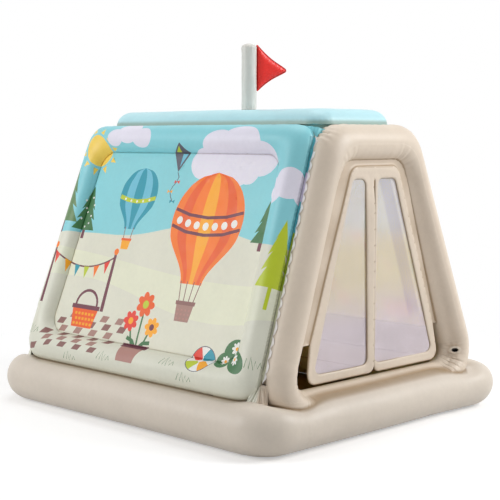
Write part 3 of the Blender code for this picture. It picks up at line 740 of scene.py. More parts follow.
RING = Tube(Panel((0.0, 0.0, RING_HEIGHT / 2), (1.0, 0.0, 0.0), (0.0, 1.0, 0.0)),
            box_corners(RING_MID_X, RING_MID_Y, RING_CORNER_R), RING_WIDTH / 2, RING_HEIGHT / 2)
FRAMES = {end: end_tube(end) for end in ENDS}
WALLS = {side: wall_tube(side) for side in SIDES}


# Meshes
def make_mesh(name, points, faces, mats, weld=None, face_mats=None, colours=None):
    """A mesh object from points and faces, with its weld distances and face colours."""
    mesh = bpy.data.meshes.new(name)
    mesh.from_pydata([tuple(p) for p in points], [], [tuple(f) for f in faces])
    for key in mats:
        mesh.materials.append(MAT[key])
    if face_mats is not None:
        mesh.polygons.foreach_set("material_index", np.asarray(face_mats, np.int32))
    layer = mesh.attributes.new("weld", "FLOAT", "POINT")
    values = np.full(len(points), FAR) if weld is None else np.minimum(weld, FAR)
    layer.data.foreach_set("value", values.astype(np.float32))
    if colours is not None:
        paint = mesh.color_attributes.new("print", "FLOAT_COLOR", "CORNER")
        sizes = np.array([len(f) for f in faces])
        rgba = np.concatenate([colours, np.ones((len(colours), 1))], 1)
        paint.data.foreach_set("color", np.repeat(rgba, sizes, axis=0).astype(np.float32).ravel())
    obj = bpy.data.objects.new(name, mesh)
    bpy.context.scene.collection.objects.link(obj)
    return obj


def finish_piece(obj, body, nodes, angle=50.0):
    """Shade a piece, put it on its body and let it stand for its solids."""
    obj.data.shade_smooth()
    obj.data.set_sharp_from_angle(angle=math.radians(angle))
    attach(obj, body)
    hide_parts(*nodes)
    return obj


def trimmed(obj, planes=()):
    """Cut away what lies beyond each plane, close the cuts and turn every face outwards."""
    bm = bmesh.new()
    bm.from_mesh(obj.data)
    for point, normal in planes:
        everything = bm.verts[:] + bm.edges[:] + bm.faces[:]
        made = bmesh.ops.bisect_plane(bm, geom=everything, dist=1e-6, plane_co=point,
                                      plane_no=normal, clear_outer=True)
        rim = [item for item in made["geom_cut"] if isinstance(item, bmesh.types.BMEdge) and item.is_boundary]
        if rim:
            bmesh.ops.holes_fill(bm, edges=rim, sides=0)
    bmesh.ops.recalc_face_normals(bm, faces=bm.faces[:])
    bm.to_mesh(obj.data)
    bm.free()


def loop_faces(rows, count, closed):
    """Quads between rows of points that each go round."""
    faces = []
    for row in range(rows if closed else rows - 1):
        low, high = row * count, ((row + 1) % rows) * count
        for index in range(count):
            after = (index + 1) % count
            faces.append((low + index, low + after, high + after, high + index))
    return faces


def seam_planes(side_ends, towards_wall):
    """The planes that part a skin from its neighbour at each corner seam."""
    planes = []
    for side, end in side_ends:
        normal = corner_normal(side, end) * (1 if towards_wall else -1)
        planes.append((seam_point(side, end, FRAME_LOW_Z) - normal * GAP / 2, normal))
    return planes


def tube_skin(tube, sides, dent):
    """Rows of points round a tube, moved out by dent(angle, run, place, share)."""
    rows, welds = [], []
    share = tube.corner_share(tube.centre)
    for side in range(sides):
        angle = 2 * math.pi * side / sides
        low = tube.ring(angle)
        normal = tube.ring(angle, 0.001) - low
        normal /= np.linalg.norm(normal, axis=1)[:, None]
        move, weld = dent(angle, tube.along, low, share)
        rows.append(low + normal * np.broadcast_to(move, len(low))[:, None])
        welds.append(np.broadcast_to(weld, len(low)))
    return np.concatenate(rows), np.concatenate(welds), loop_faces(sides, len(low), True)


def turn_gap(angle, at):
    return abs((angle - at + math.pi) % (2 * math.pi) - math.pi)


# Base ring and floor
def ring_dent(angle, run, place, share):
    inner = RING_WIDTH / 2 * turn_gap(angle, math.pi)
    move = 0.0010 * bell(inner, 0.035) * ripple(run, 1.3) * (0.4 + 1.4 * share)
    slow = 0.0010 * np.sin(7.0 * run + 2.0 * math.sin(angle))
    soft = 0.0007 * share * np.sin(run * 95.0) * bell(turn_gap(angle, 0.6), 0.7)
    outer = bell(turn_gap(angle, 0.0), 0.5)
    return move + slow * (1.0 - outer) * 0.7 - soft * 0.4 - 0.0004, inner


def pressed(points):
    """Sink the ring where the frames and walls stand on it, and slacken its front right corner."""
    place, _, _ = nearest(RING.centre, points[:, :2])
    inward = np.concatenate([place - points[:, :2], (RING_HEIGHT / 2 - points[:, 2])[:, None]], 1)
    inward /= np.maximum(np.linalg.norm(inward, axis=1), TINY)[:, None]
    upper = smooth((points[:, 2] - RING_HEIGHT * 0.35) / 0.05)
    feet = SILL_GIVE + (1.0 - SILL_GIVE) * smooth((np.abs(points[:, 0]) - SILL_SPAN[0]) / SILL_SPAN[1])
    sunk = np.zeros(len(points))
    for kind, tubes, share in (("frame", FRAMES, feet), ("wall", WALLS, 1.0)):
        for tube in tubes.values():
            near = bell(np.maximum(tube.off(points), 0.0), RING_GIVE_REACH[kind])
            sunk = np.maximum(sunk, RING_GIVE[kind] * share * near)
    points = points + inward * (sunk * upper)[:, None]
    corner = np.array((RING_MID_X, -RING_MID_Y))
    slack = smooth(1.0 - np.hypot(*(points[:, :2] - corner).T) / SLACK_REACH)
    points[:, :2] += np.array((1.0, -1.0)) / math.sqrt(2.0) * (RING_SPREAD * slack)[:, None]
    points[:, 2] -= RING_SAG * slack * (points[:, 2] / RING_HEIGHT) ** 2
    return points


def build_ring():
    points, weld, faces = tube_skin(RING, 64, ring_dent)
    points = pressed(points)
    points[:, 2] = np.maximum(points[:, 2], 0.0)
    obj = make_mesh("ring_skin", points, faces, ["ring"], weld)
    finish_piece(obj, "tent", ["base_ring"])


def used_only(points, faces):
    """Drop points that no face uses, and tell which stay."""
    used = np.unique(faces)
    index = np.full(len(points), -1)
    index[used] = np.arange(len(used))
    return points[used], index[faces], used


def flat_mesh(border, rings=(), shapes=(), pitch=0.012, keep=None, hole=None):
    """Triangles that fill a border, with rings and drawn shapes as edges, and a grid between them."""
    points, edges = [], []
    for loop in (border, *rings, *shapes):
        first, count = len(points), len(loop)
        points.extend(map(tuple, loop))
        edges.extend((first + i, first + (i + 1) % count) for i in range(count))
    low, high = border.min(0), border.max(0)
    columns = np.arange(low[0] + pitch / 2, high[0], pitch)
    rows = np.arange(low[1] + pitch / 2, high[1], pitch * 0.87)
    grid = np.array([(u + (pitch / 2 if index % 2 else 0.0), v) for index, v in enumerate(rows)
                     for u in columns])
    grid = grid[inside(border, grid)]
    if keep is not None:
        grid = grid[inside(keep, grid)]
    loops = np.array(points)
    gap, = in_blocks(len(grid), lambda part: (apart(grid[part], loops).min(1),))
    points += [tuple(p) for p in grid[gap >= pitch * 0.42]]
    made = delaunay_2d_cdt([Vector(p) for p in points], edges, [], 0, 1e-5)
    flat = np.array([tuple(p) for p in made[0]])
    faces = np.array([tuple(f) for f in made[2] if len(f) == 3])
    middles = flat[faces].mean(1)
    filled = inside(border, middles)
    if hole is not None:
        filled &= ~inside(hole, middles)
    faces = faces[filled]
    a, b, c = (flat[faces[:, k]] for k in range(3))
    area = (b[:, 0] - a[:, 0]) * (c[:, 1] - a[:, 1]) - (c[:, 0] - a[:, 0]) * (b[:, 1] - a[:, 1])
    faces = np.where((area < 0)[:, None], faces[:, ::-1], faces)[np.abs(area) > 1e-11]
    return used_only(flat, faces)[:2]


def twin_skin(front, back, faces, shared, weld):
    """Two skins over one drawing, joined where shared: their points, faces and weld distances."""
    other = np.where(shared, np.arange(len(front)), len(front) + np.cumsum(~shared) - 1)
    return (np.concatenate([front, back[~shared]]), np.concatenate([faces, other[faces][:, ::-1]]),
            np.concatenate([weld, weld[~shared]]))


def build_floor():
    corners = grown_corners(box_corners(RING_MID_X, RING_MID_Y, RING_CORNER_R), -RING_WIDTH / 2 * 0.17)
    border = drawn(corners, 8, 0.012)
    flat, faces = flat_mesh(border, pitch=0.014)
    _, run, away = nearest(border, flat)
    waves = 1.0 + billow(flat[:, 0] * 1.4, flat[:, 1] * 1.2, 2.0)
    rise = 0.0007 + 0.0012 * waves * smooth((away - 0.06) / 0.08)
    rise += 0.0014 * np.maximum(ripple(run, 4.0, 1.6), 0.0) * bell(away - 0.11, 0.04)
    top = np.concatenate([flat, (rise + 0.0004)[:, None]], 1)
    under = np.concatenate([flat, np.maximum(rise + 0.0004 - FILM_THICK["floor"], 0.0)[:, None]], 1)
    points, faces, weld = twin_skin(top, under, faces, away < JOINED, away + 0.004)
    obj = make_mesh("floor_film", points, faces, ["floor"], weld)
    finish_piece(obj, "tent", ["floor_sheet"])


# End frames
def on_leg(centre, side, end, z, aim, radius):
    """A place on a leg's tube towards aim, the way out of it and the way across it."""
    along = (centre(side, end, FRAME_TOP_Z) - centre(side, end, FRAME_LOW_Z)).normalized()
    out = (aim - aim.dot(along) * along).normalized()
    return centre(side, end, z) + out * radius, out, Vector((-out.y, out.x, 0.0)).normalized()


def valve_places():
    """Where each chamber's valve sits: its crest, its way out and the way across it."""
    found = {}
    for end, side in (("front", "right"), ("back", "left")):
        aim = -ENDS[end] * Vector((math.cos(FRAME_VALVE_TURN), math.sin(FRAME_VALVE_TURN), 0.0))
        found[end + "_frame"] = on_leg(leg_centre, side, end, FRAME_VALVE_Z, aim, FRAME_R)
    for side in SIDES:
        aim = Vector((-SIDES[side], -1.0, 0.0)).normalized()
        found[side + "_wall"] = on_leg(post_centre, side, "back", WALL_VALVE_Z, aim, WALL_R)
    out = Vector((0.0, math.cos(RING_VALVE_TILT), math.sin(RING_VALVE_TILT)))
    crest = Vector((RING_VALVE_X, RING_MID_Y + RING_WIDTH / 2 * out.y, RING_HEIGHT / 2 * (1 + out.z)))
    found["ring"] = (crest, out, Vector((1.0, 0.0, 0.0)))
    rise = ROOF_RISE - 0.0015
    tilt = Vector((0.0, math.cos(ROOF_VALVE_TILT), math.sin(ROOF_VALVE_TILT)))
    crest = Vector((0.0, ROOF_HALF_Y - ROOF_EDGE * (1 - tilt.y), WALL_TOP_Z + rise * tilt.z))
    out = Vector((0.0, rise * tilt.y, ROOF_EDGE * tilt.z)).normalized()
    found["roof"] = (crest, out, Vector((1.0, 0.0, 0.0)))
    return found


VALVES = valve_places()


def valve_puckers(points, name):
    """Creases that run out from a valve's welded rim, strongest below it."""
    crest, out, across = VALVES[name]
    rel = points - np.array(crest)
    u = rel @ np.array(across)
    v = rel @ np.array(out.cross(across)) / VALVE_OVAL
    gap = np.hypot(u, v)
    turn = np.arctan2(v, u)
    below = 0.6 + 0.6 * smooth(-np.sin(turn) * np.sign(out.cross(across).z))
    wave = np.cos(turn * 11.0 + 1.2 * np.sin(turn * 2.0)) * below
    depth = np.abs(rel @ np.array(out)) < 0.05
    return 0.0010 * wave * bell(gap - 0.027, 0.016) * depth * (gap > 0.014)


def corner_pleats(points, end):
    """Creases that run out from the places where an end frame's upper corners meet the roof."""
    depth = np.zeros(len(points))
    for side in SIDES:
        rel = points - np.array(seam_point(side, end, PLEAT_Z))
        away = np.linalg.norm(rel, axis=1)
        fan = np.arctan2(rel[:, 2], -SIDES[side] * rel[:, 0])
        crease = np.abs(np.sin(fan * 8.0 + 1.1 * np.sin(fan * 3.0)))
        depth += PLEAT_DEEP * (1.0 - crease) ** 2 * bell(away - 0.022, 0.030)
    return depth


def squared(tube, place, way, cuts, steps):
    """How far out a squarer outline lies: cuts come off its lower and upper corners' radii."""
    corners = [(u, v, radius - cuts[v > UPPER_V]) for u, v, radius in grown_corners(tube.corners, tube.wide)]
    return ray_reach(drawn(corners, steps, 0.01), place, way)


def square_end(tube, points):
    """Move the outer half of a tube's upper corners out to a squarer outline."""
    flat, out = tube.panel.flat(points)
    place, _, away = nearest(tube.centre, flat)
    way = (flat - place) / np.maximum(away, TINY)[:, None]
    reach = squared(tube, place, way, (0.0, FRAME_CORNER_CUT), 32) / tube.wide
    outward = ~inside(tube.centre, flat) & np.isfinite(reach) & (away > 1e-4)
    reach = np.where(outward, np.maximum(reach, 1.0), 1.0)
    return tube.panel.at(place + way * (away * reach)[:, None], out)


def end_dent(end):
    seam_angle = -math.asin(FRAME_SET_OUT / FRAME_R)

    def dent(angle, run, place, share):
        z = place[:, 2]
        inner = FRAME_R * turn_gap(angle, math.pi)
        outer = FRAME_R * turn_gap(angle, seam_angle)
        if end == "front" and math.cos(angle) < 0.0:
            inner = 0.45 * np.abs(place[:, 1] - DOOR_Y) + FAR * smooth((WELD_LOW_Z - z) / 0.08)
        move = 0.0009 * bell(inner, 0.020) * ripple(run, 0.6) * (0.5 + 1.6 * share)
        move += 0.0015 * bell(outer, 0.026) * ripple(run, 2.9, 1.25) * (0.6 + 1.7 * share)
        move += 0.0011 * np.sin(6.0 * run + 2.5 * math.sin(angle + 0.4)) * math.sin(angle) ** 2
        move += valve_puckers(place, end + "_frame") - corner_pleats(place, end)
        fold = ticks(run, 0.0125, 0.9, 37.0) ** 2 * smooth((0.30 - z) / 0.12) * share
        move -= 0.0042 * bell(turn_gap(angle, 2.2), 0.80) * fold
        if end == "front":
            off = min(turn_gap(angle, LEG_PULL_TURN) / LEG_PULL_SPAN, 1.0)
            leg = smooth((z - 0.12) / 0.06) * smooth((0.83 - z) / 0.12)
            move -= LEG_PULL * math.cos(off * math.pi / 2) ** 2 * leg
            sill = smooth((0.30 - z) / 0.08) * smooth((seam_x(FRAME_LOW_Z) - np.abs(place[:, 0])) / 0.08)
            move -= SILL_SINK * bell(turn_gap(angle, math.pi * 0.92), 0.8) * sill
        return move - 0.0006, np.minimum(inner, outer)
    return dent


def build_end(end):
    tube = FRAMES[end]
    points, weld, faces = tube_skin(tube, 72, end_dent(end))
    points = RING.clear(square_end(tube, points), -RING_GIVE["frame"] - 0.0008)
    obj = make_mesh(end + "_frame_skin", points, faces, ["cream"], weld)
    trimmed(obj, seam_planes([(side, end) for side in SIDES], True))
    finish_piece(obj, "tent", [end + "_frame"])


def build_back_sheet():
    tube = FRAMES["back"]
    border = outline(grown_corners(tube.corners, -(FRAME_R - 0.0010)), 8,
                     run_counts(tube.corners, 8, 0.014))
    flat, faces = flat_mesh(border, pitch=0.014)
    _, run, away = nearest(border, flat)
    bulge = 0.0022 * billow(flat[:, 0], flat[:, 1], 0.4) * smooth(away / 0.06)
    bulge += 0.0008 * ripple(run, 7.0, 1.3) * bell(away, 0.03) * smooth(away / 0.006)
    half = 0.0007 * smooth(away / 0.004)
    front, back = tube.panel.at(flat, bulge + half), tube.panel.at(flat, bulge - half)
    points, faces, weld = twin_skin(front, back, faces, away < JOINED, away)
    obj = make_mesh("back_film", points, faces, ["film"], weld)
    finish_piece(obj, "tent", ["back_wall_sheet"])
    polygon_area(border)


# The walls' picture, drawn on the wall laid flat: u along it, v up it
def circle(u, v, radius, tall=1.0, count=30, turn=0.0):
    angle = np.linspace(0.0, 2 * math.pi, count, endpoint=False)
    x, y = radius * np.cos(angle), radius * tall * np.sin(angle)
    return np.stack([u + x * math.cos(turn) - y * math.sin(turn),
                     v + x * math.sin(turn) + y * math.cos(turn)], 1)


def poly(*points):
    return np.array(points, float)


def rect(u, v, wide, tall, lean=0.0):
    return poly((u, v), (u + wide, v), (u + wide + lean, v + tall), (u + lean, v + tall))


def taper(u, v, half, end_v, end_half):
    """A four-sided shape, half as wide on each side of u at v and at end_v."""
    return poly((u - half, v), (u + half, v), (u + end_half, end_v), (u - end_half, end_v))


def around(u, v, *spots):
    return [(u + du, v + dv) for du, dv in spots]


def mirrored(*half):
    """A line's left half, from its end to its middle, and the right half like it."""
    return (*half, *[(-u, v) for u, v in half[-2::-1]])


def blob(u, v, *circles):
    return [circle(u + du, v + dv, r, 0.86) for du, dv, r in circles]


def petals(u, v, count, reach, radius, tall, fine, turn=0.0):
    angles = [2 * math.pi * k / count + turn for k in range(count)]
    return [circle(u + reach * math.cos(t), v + reach * math.sin(t), radius, tall, fine, t) for t in angles]


def conifer(u, base, height, width, tiers=4):
    """A fir with jagged tiers, as one outline."""
    left, right = [], []
    for tier in range(tiers):
        low = base + height * 0.16 + height * 0.84 * tier / (tiers + 0.4)
        high = min(low + height * 0.84 * 1.15 / tiers, base + height)
        half = width / 2 * (1.0 - tier / (tiers + 0.6))
        right += [(u + half, low), (u + half * 0.42, high)]
        left += [(u - half, low), (u - half * 0.42, high)]
    right[-1] = (u, base + height)
    return poly((u - width * 0.05, base + height * 0.16), *left[:-1], *reversed(right),
                (u + width * 0.05, base + height * 0.16))


def gore(u, v, radius, low, high, count=26):
    """The part of a hot-air balloon between two shares of its width."""
    rise = np.linspace(-1.32, 1.0, count)
    half = np.where(rise > -0.28, np.sqrt(np.maximum(1.0 - rise ** 2, 0.0)),
                    0.96 - 0.66 * smooth((-0.28 - rise) / 1.04) ** 0.9)
    half[-1] = 0.0
    up, down = (np.stack([u + radius * half * share, v + radius * rise], 1) for share in (high, low))
    return np.concatenate([up, down[-2::-1]])


def stroke(points, width):
    """A thin band along a line of points."""
    line = np.array(points, float)
    step = np.gradient(line, axis=0)
    side = np.stack([-step[:, 1], step[:, 0]], 1)
    side /= np.maximum(np.linalg.norm(side, axis=1), TINY)[:, None]
    return np.concatenate([line + side * width / 2, (line - side * width / 2)[::-1]])


# Each balloon: its middle and radius; its gores and their edges; its bands, as colour, width and left half;
# its dots, as count, pitch, height, bow, size and corners; its ropes, as width, top, foot and their places
# at both; its basket's parts, as colour, top and half width, foot and half width; and its rows of weave
BALLOONS = (
    ((0.165, 0.455, 0.150), (ORANGE, DEEP_ORANGE, ORANGE, AMBER, ORANGE, DEEP_ORANGE, ORANGE),
     (-1.0, -0.78, -0.50, -0.18, 0.18, 0.50, 0.78, 1.0),
     ((MAROON, 0.010, ((-0.144, 0.030), (-0.08, 0.014), (0.0, 0.008))),
      (MAROON, 0.010, ((-0.145, -0.022), (-0.08, -0.040), (0.0, -0.046)))),
     (7, 0.039, -0.019, 1.0, 0.0125, 18),
     (0.0035, -0.190, -0.255, ((-0.0420, -0.0300), (-0.0147, -0.0105), (0.0147, 0.0105), (0.0420, 0.0300))),
     ((BROWN, -0.252, 0.038, -0.312, 0.030), (DEEP_BROWN, -0.250, 0.042, -0.262, 0.041)), 3),
    ((-0.175, 0.525, 0.088), (TEAL, LIGHT_BLUE, TEAL, LIGHT_BLUE, TEAL),
     (-1.0, -0.66, -0.24, 0.24, 0.66, 1.0),
     ((LIME, 0.014, ((-0.085, -0.010), (-0.045, -0.020), (0.0, -0.024))),),
     (5, 0.029, -0.024, 1.9, 0.0042, 10),
     (0.003, -0.110, -0.150, ((-0.020, -0.016), (0.020, 0.016))),
     ((AMBER, -0.148, 0.022, -0.183, 0.017), (DEEP_ORANGE, -0.147, 0.024, -0.155, 0.023)), 0),
)


def picture():
    """Every coloured shape of the picture, from the back to the front."""
    art = []

    def lay(colour, *loops):
        art.extend((colour, loop) for loop in loops)

    lay(SUN, circle(-0.415, 0.665, 0.052))
    for ray in range(10):
        t = ray * math.pi / 5 + 0.2
        lay(SUN, poly(*[(-0.415 + r * math.cos(t + d), 0.665 + r * math.sin(t + d))
                        for r, d in ((0.062, -0.16), (0.086, 0.0), (0.062, 0.16))]))
    lay(CLOUD, *blob(0.215, 0.655, (-0.12, -0.02, 0.062), (-0.055, 0.035, 0.075), (0.035, 0.045, 0.085),
                     (0.115, 0.0, 0.068), (0.02, -0.03, 0.075), (-0.04, -0.055, 0.045),
                     (0.075, -0.05, 0.04)),
        *blob(-0.27, 0.735, (-0.065, -0.01, 0.04), (0.0, 0.015, 0.055), (0.07, -0.01, 0.045)),
        *blob(0.505, 0.555, (-0.06, -0.005, 0.045), (0.0, 0.02, 0.055), (0.065, 0.0, 0.045)))
    u = np.linspace(-0.62, 0.62, 48)
    near = 0.300 + 0.030 * np.sin(3.6 * u + 3.6)
    for colour, top in ((GROUND, 0.395 + 0.030 * np.sin(4.2 * u + 0.9) + 0.012 * np.sin(11.0 * u)),
                        (PATH, near), (GROUND, near - 0.10 - 0.02 * np.sin(6.0 * u))):
        lay(colour, np.concatenate([np.stack([u, top], 1), poly((0.62, -0.2), (-0.62, -0.2))]))
    for spot, base, height, width, leaf in ((-0.505, 0.375, 0.245, 0.130, OLIVE),
                                            (-0.405, 0.365, 0.180, 0.100, GREEN),
                                            (0.405, 0.375, 0.150, 0.085, GREEN)):
        lay(MAROON, rect(spot - 0.007, base, 0.014, 0.06))
        lay(leaf, conifer(spot, base, height, width))
    for dot in range(9):
        lay(WHITE, circle(-0.405 + 0.022 * math.sin(dot * 2.4), 0.405 + dot * 0.0125, 0.0036, 1.0, 10))
    lay(LIME, rect(0.524, 0.21, 0.012, 0.09), conifer(0.53, 0.235, 0.235, 0.120))

    for (u, v, radius), gores, marks, bands, dots, ropes, basket, weave in BALLOONS:
        for colour, low, high in zip(gores, marks, marks[1:]):
            lay(colour, gore(u, v, radius, low, high))
        for colour, width, half in bands:
            lay(colour, stroke(around(u, v, *mirrored(*half)), width))
        count, pitch, height, bow, size, fine = dots
        for dot in range(count):
            x = pitch * (dot - count // 2)
            lay(WHITE, circle(u + x, v + height + bow * x * x, size, 1.0, fine))
        width, high, low, lines = ropes
        lay(DEEP_BROWN, *[stroke(around(u, v, (top, high), (foot, low)), width) for top, foot in lines])
        for colour, high, half, low, low_half in basket:
            lay(colour, taper(u, v + high, half, v + low, low_half))
        for row in range(weave):
            for column in range(4):
                lay(ROSE, rect(u - 0.027 + 0.0155 * column, v - 0.274 - 0.013 * row, 0.008, -0.006))

    u, v = -0.020, 0.665
    lay(SLATE, poly(*around(u, v, (-0.036, 0.0), (0.0, -0.062), (0.036, 0.0), (0.0, 0.042))))
    lay(LIME, poly(*around(u, v, (-0.027, 0.002), (-0.003, 0.030), (-0.003, 0.002))))
    lay(LIGHT_BLUE, poly(*around(u, v, (0.027, -0.002), (0.003, -0.045), (0.003, -0.002))))
    tail = [(u + 0.012 * math.sin(k * 1.2), v - 0.062 - 0.016 * k) for k in range(7)]
    lay(SLATE, stroke(tail, 0.003))
    for k, colour in ((2, RED), (4, AMBER), (6, TEAL)):
        lay(colour, *[poly(*around(*tail[k], (0.0, 0.0), (out, 0.006), (out, -0.006)))
                      for out in (-0.011, 0.011)])

    for post in (-0.500, -0.205):
        lay(MAROON, taper(post, 0.135, 0.008, 0.325, 0.006))
        lay(ORANGE, circle(post, 0.331, 0.011, 1.0, 14))
    rope = [(x, 0.312 - 0.040 * (1 - ((x + 0.3525) / 0.1475) ** 2)) for x in np.linspace(-0.500, -0.205, 13)]
    lay(MAROON, stroke(rope, 0.005))
    for k, colour in enumerate((RED, AMBER, TEAL, LIME, ORANGE, RED)):
        (x0, y0), (x1, y1) = rope[2 * k], rope[2 * k + 1]
        lay(colour, poly((x0 + 0.004, y0), ((x0 + x1) / 2 + 0.004, (y0 + y1) / 2 - 0.040), (x1 + 0.006, y1)))

    for row in range(6):
        for column in range(row % 2, 9, 2):
            lay(BROWN if row % 2 else DEEP_BROWN,
                rect(-0.490 + 0.020 * row + 0.038 * column, -0.020 + 0.0245 * row, 0.033, 0.0205, 0.012))
    lay(DEEP_ORANGE, taper(-0.285, 0.075, 0.050, 0.135, 0.063))
    lay(MAROON, rect(-0.354, 0.135, 0.138, 0.014),
        stroke([(-0.285 + 0.052 * math.cos(t), 0.149 + 0.048 * math.sin(t))
                for t in np.linspace(0.0, math.pi, 13)], 0.009))
    for row in range(3):
        for column in range(6):
            lay(AMBER, rect(-0.330 + 0.0165 * column + 0.006 * (row % 2), 0.083 + 0.0165 * row, 0.010, 0.008))

    for stem, v, size, petal, heart in ((-0.052, 0.122, 0.030, RED, AMBER),
                                        (0.048, 0.112, 0.028, AMBER, MAROON),
                                        (-0.004, 0.178, 0.036, DEEP_ORANGE, LIME)):
        lay(GREEN, stroke([(stem * 0.35, 0.030), (stem * 0.7, 0.075), (stem, v)], 0.007))
        lay(petal, *petals(stem, v, 7, 0.66 * size, size * 0.46, 0.72, 20, stem * 9.0))
        lay(heart, circle(stem, v, size * 0.36))
    lay(GREEN, stroke([(0.0, 0.035), (-0.024, 0.062), (-0.052, 0.070)], 0.012),
        stroke([(0.0, 0.035), (0.026, 0.060), (0.056, 0.064)], 0.012))
    lay(ROSE, taper(0.0, 0.040, 0.050, -0.028, 0.038))
    lay(MAROON, taper(0.0, 0.052, 0.060, 0.032, 0.056))

    u, v, radius = 0.300, 0.035, 0.048
    lay(SLATE, circle(u, v, radius + 0.0025, 1.0, 40))
    lay(WHITE, circle(u, v, radius, 1.0, 36))
    for k, colour in enumerate((TEAL, RED, LIME, AMBER)):
        t = 0.35 + k * math.pi / 2
        rim = [(radius, t + d) for d in np.linspace(0, 0.85, 8)] + [(0.42 * radius, t + 1.3)]
        lay(colour, poly((u, v), *[(u + r * math.cos(a), v + r * math.sin(a)) for r, a in rim]))
    lay(WHITE, circle(u, v, 0.009, 1.0, 16))
    lay(GREEN, *blob(0.420, 0.070, (-0.032, -0.022, 0.036), (0.0, 0.010, 0.046), (0.036, -0.020, 0.036)))
    for u, v, size in ((0.420, 0.092, 0.019), (0.452, 0.056, 0.016), (0.388, 0.052, 0.016)):
        lay(WHITE, *petals(u, v, 8, 0.62 * size, size * 0.44, 0.55, 14))
        lay(AMBER, circle(u, v, size * 0.30, 1.0, 16))
    blades = (0.010, 0.034, 0.008, 0.040, 0.006, 0.030, 0.010, 0.026, 0.012)
    for u, v in ((-0.520, 0.020), (-0.130, -0.045), (0.155, -0.020), (0.235, -0.062), (0.495, 0.030),
                 (-0.300, -0.070)):
        lay(OLIVE, stroke([(u + 0.0075 * k + 0.004 * (k % 2), v + h) for k, h in enumerate(blades)], 0.0026))
    return art


ART = picture()


def paint(middles):
    """The picture's colour at places on the wall laid flat."""
    colours = np.tile(np.array(SKY), (len(middles), 1))
    for colour, loop in ART:
        colours[inside(loop, middles)] = colour
    return colours


# Side walls
def wall_drawing(tube):
    """The wall laid flat, cut along its welds and the picture's edges."""
    welds = [(u, v, WELD_CORNER_R) for u, v, _ in grown_corners(tube.corners, -WALL_R)]
    weld_line = drawn(welds, 12, 0.009)
    steps = 18
    rings = [drawn(grown_corners(welds, WRAP * step / steps), 12, 0.011) for step in range(1, steps)]
    border = drawn(grown_corners(welds, WRAP), 16, 0.010)
    return weld_line, *flat_mesh(border, [weld_line, *rings], [loop for _, loop in ART], 0.012, weld_line)


def build_wall(side):
    tube = WALLS[side]
    weld_line, flat, faces = wall_drawing(tube)
    place, run, away = nearest(weld_line, flat)
    within = inside(weld_line, flat) & (away > JOINED)
    beyond = np.where(within, 0.0, away)
    side_way = (flat - place) / np.maximum(away, TINY)[:, None]
    wrap = np.clip(beyond / WRAP, 0.0, 1.0)
    start = math.asin(FILM_SET_OUT / WALL_R)
    turn = start + (math.pi - start) * wrap
    turn_in = start - (math.pi + start) * wrap
    share = tube.corner_share(flat)
    pucker = 0.0012 * bell(beyond, 0.024) * smooth(beyond / 0.010) * ripple(run, 5.0) * (0.45 + 1.5 * share)
    pucker += 0.0016 * bell(WRAP - beyond, 0.022) * ripple(run, 1.1, 1.2) * (0.6 + 1.7 * share)
    pucker += 0.0010 * np.sin(8.0 * run + 2.0 * turn) * np.sin(math.pi * wrap) ** 2 - 0.0005
    lean = WALL_R + pucker
    reach = squared(tube, place, side_way, WALL_CORNER_CUT, 24) / (2 * WALL_R)
    fuller = np.where(np.isfinite(reach) & (away > 1e-4), reach, 1.0)
    top_gap = np.max(weld_line[:, 1]) - flat[:, 1]
    fold = 0.0028 * ripple(flat[:, 0], 2.2, 0.8) * bell(top_gap, 0.10) * smooth(away / 0.012)
    fold += 0.0012 * ripple(run, 9.0, 1.0) * bell(away, 0.035) * smooth(away / 0.008) * (0.4 + share)
    fold += 0.0024 * billow(flat[:, 0] * 0.8, flat[:, 1] * 0.7, 1.5) * smooth(away / 0.05)
    film = 0.0008 * smooth(away / 0.005)

    def skin(angle, sheet_out):
        over = place + side_way * (fuller * (WALL_R - lean * np.cos(angle)))[:, None]
        out = np.where(within, FILM_SET_OUT + sheet_out, lean * np.sin(angle))
        return RING.clear(tube.panel.at(np.where(within[:, None], flat, over), out),
                          -RING_GIVE["wall"] - 0.003)

    front, back = skin(turn, fold + film), skin(turn_in, fold - film)
    middles = flat[faces].mean(1)
    in_sheet = inside(weld_line, middles)
    colours = paint(middles)
    # Inside colours: the lining's cream-yellow with a faint painted ghost of the print, standing for light
    # through the printed film, and dark brown painted shade on the tubes' inner faces
    faint = 0.94 * np.where(in_sheet[:, None], INSIDE, INSIDE_TUBE_SHADE) + 0.06 * colours
    ends = np.min([np.abs((front - np.array(seam_point(side, end, FRAME_LOW_Z)))
                          @ np.array(corner_normal(side, end))) for end in ENDS], axis=0)
    shady = smooth(1.0 - (ends[faces].mean(1) - 0.006) / 0.010)[:, None] * ~in_sheet[:, None]
    colours = colours ** (1.0 + 0.7 * shady) * (1.0 - 0.40 * shady)
    weld = np.minimum(away, np.where(within, FAR, np.abs(WRAP - beyond)))
    on_weld = ~within & (away < 1e-5)

    def part(name, chosen, shared, mats):
        _, some, used = used_only(flat, faces[chosen])
        points, made, gaps = twin_skin(front[used], back[used], some, shared[used], weld[used])
        looks = np.repeat([0, len(mats) - 1], len(some))
        return make_mesh(name, points, made, mats, gaps, looks,
                         np.concatenate([colours[chosen], faint[chosen]]))

    sheet = part(side + "_wall_film", in_sheet, on_weld, ["print_film", "lining"])
    finish_piece(sheet, "tent", [side + "_wall_sheet"])
    size_of(weld_line)
    polygon_area(weld_line)
    skin_piece = part(side + "_wall_skin", ~in_sheet, on_weld | (beyond > WRAP - 1e-5), ["print"])
    trimmed(skin_piece, seam_planes([(side, end) for end in ENDS], False))
    finish_piece(skin_piece, "tent", [side + "_wall_tube"])


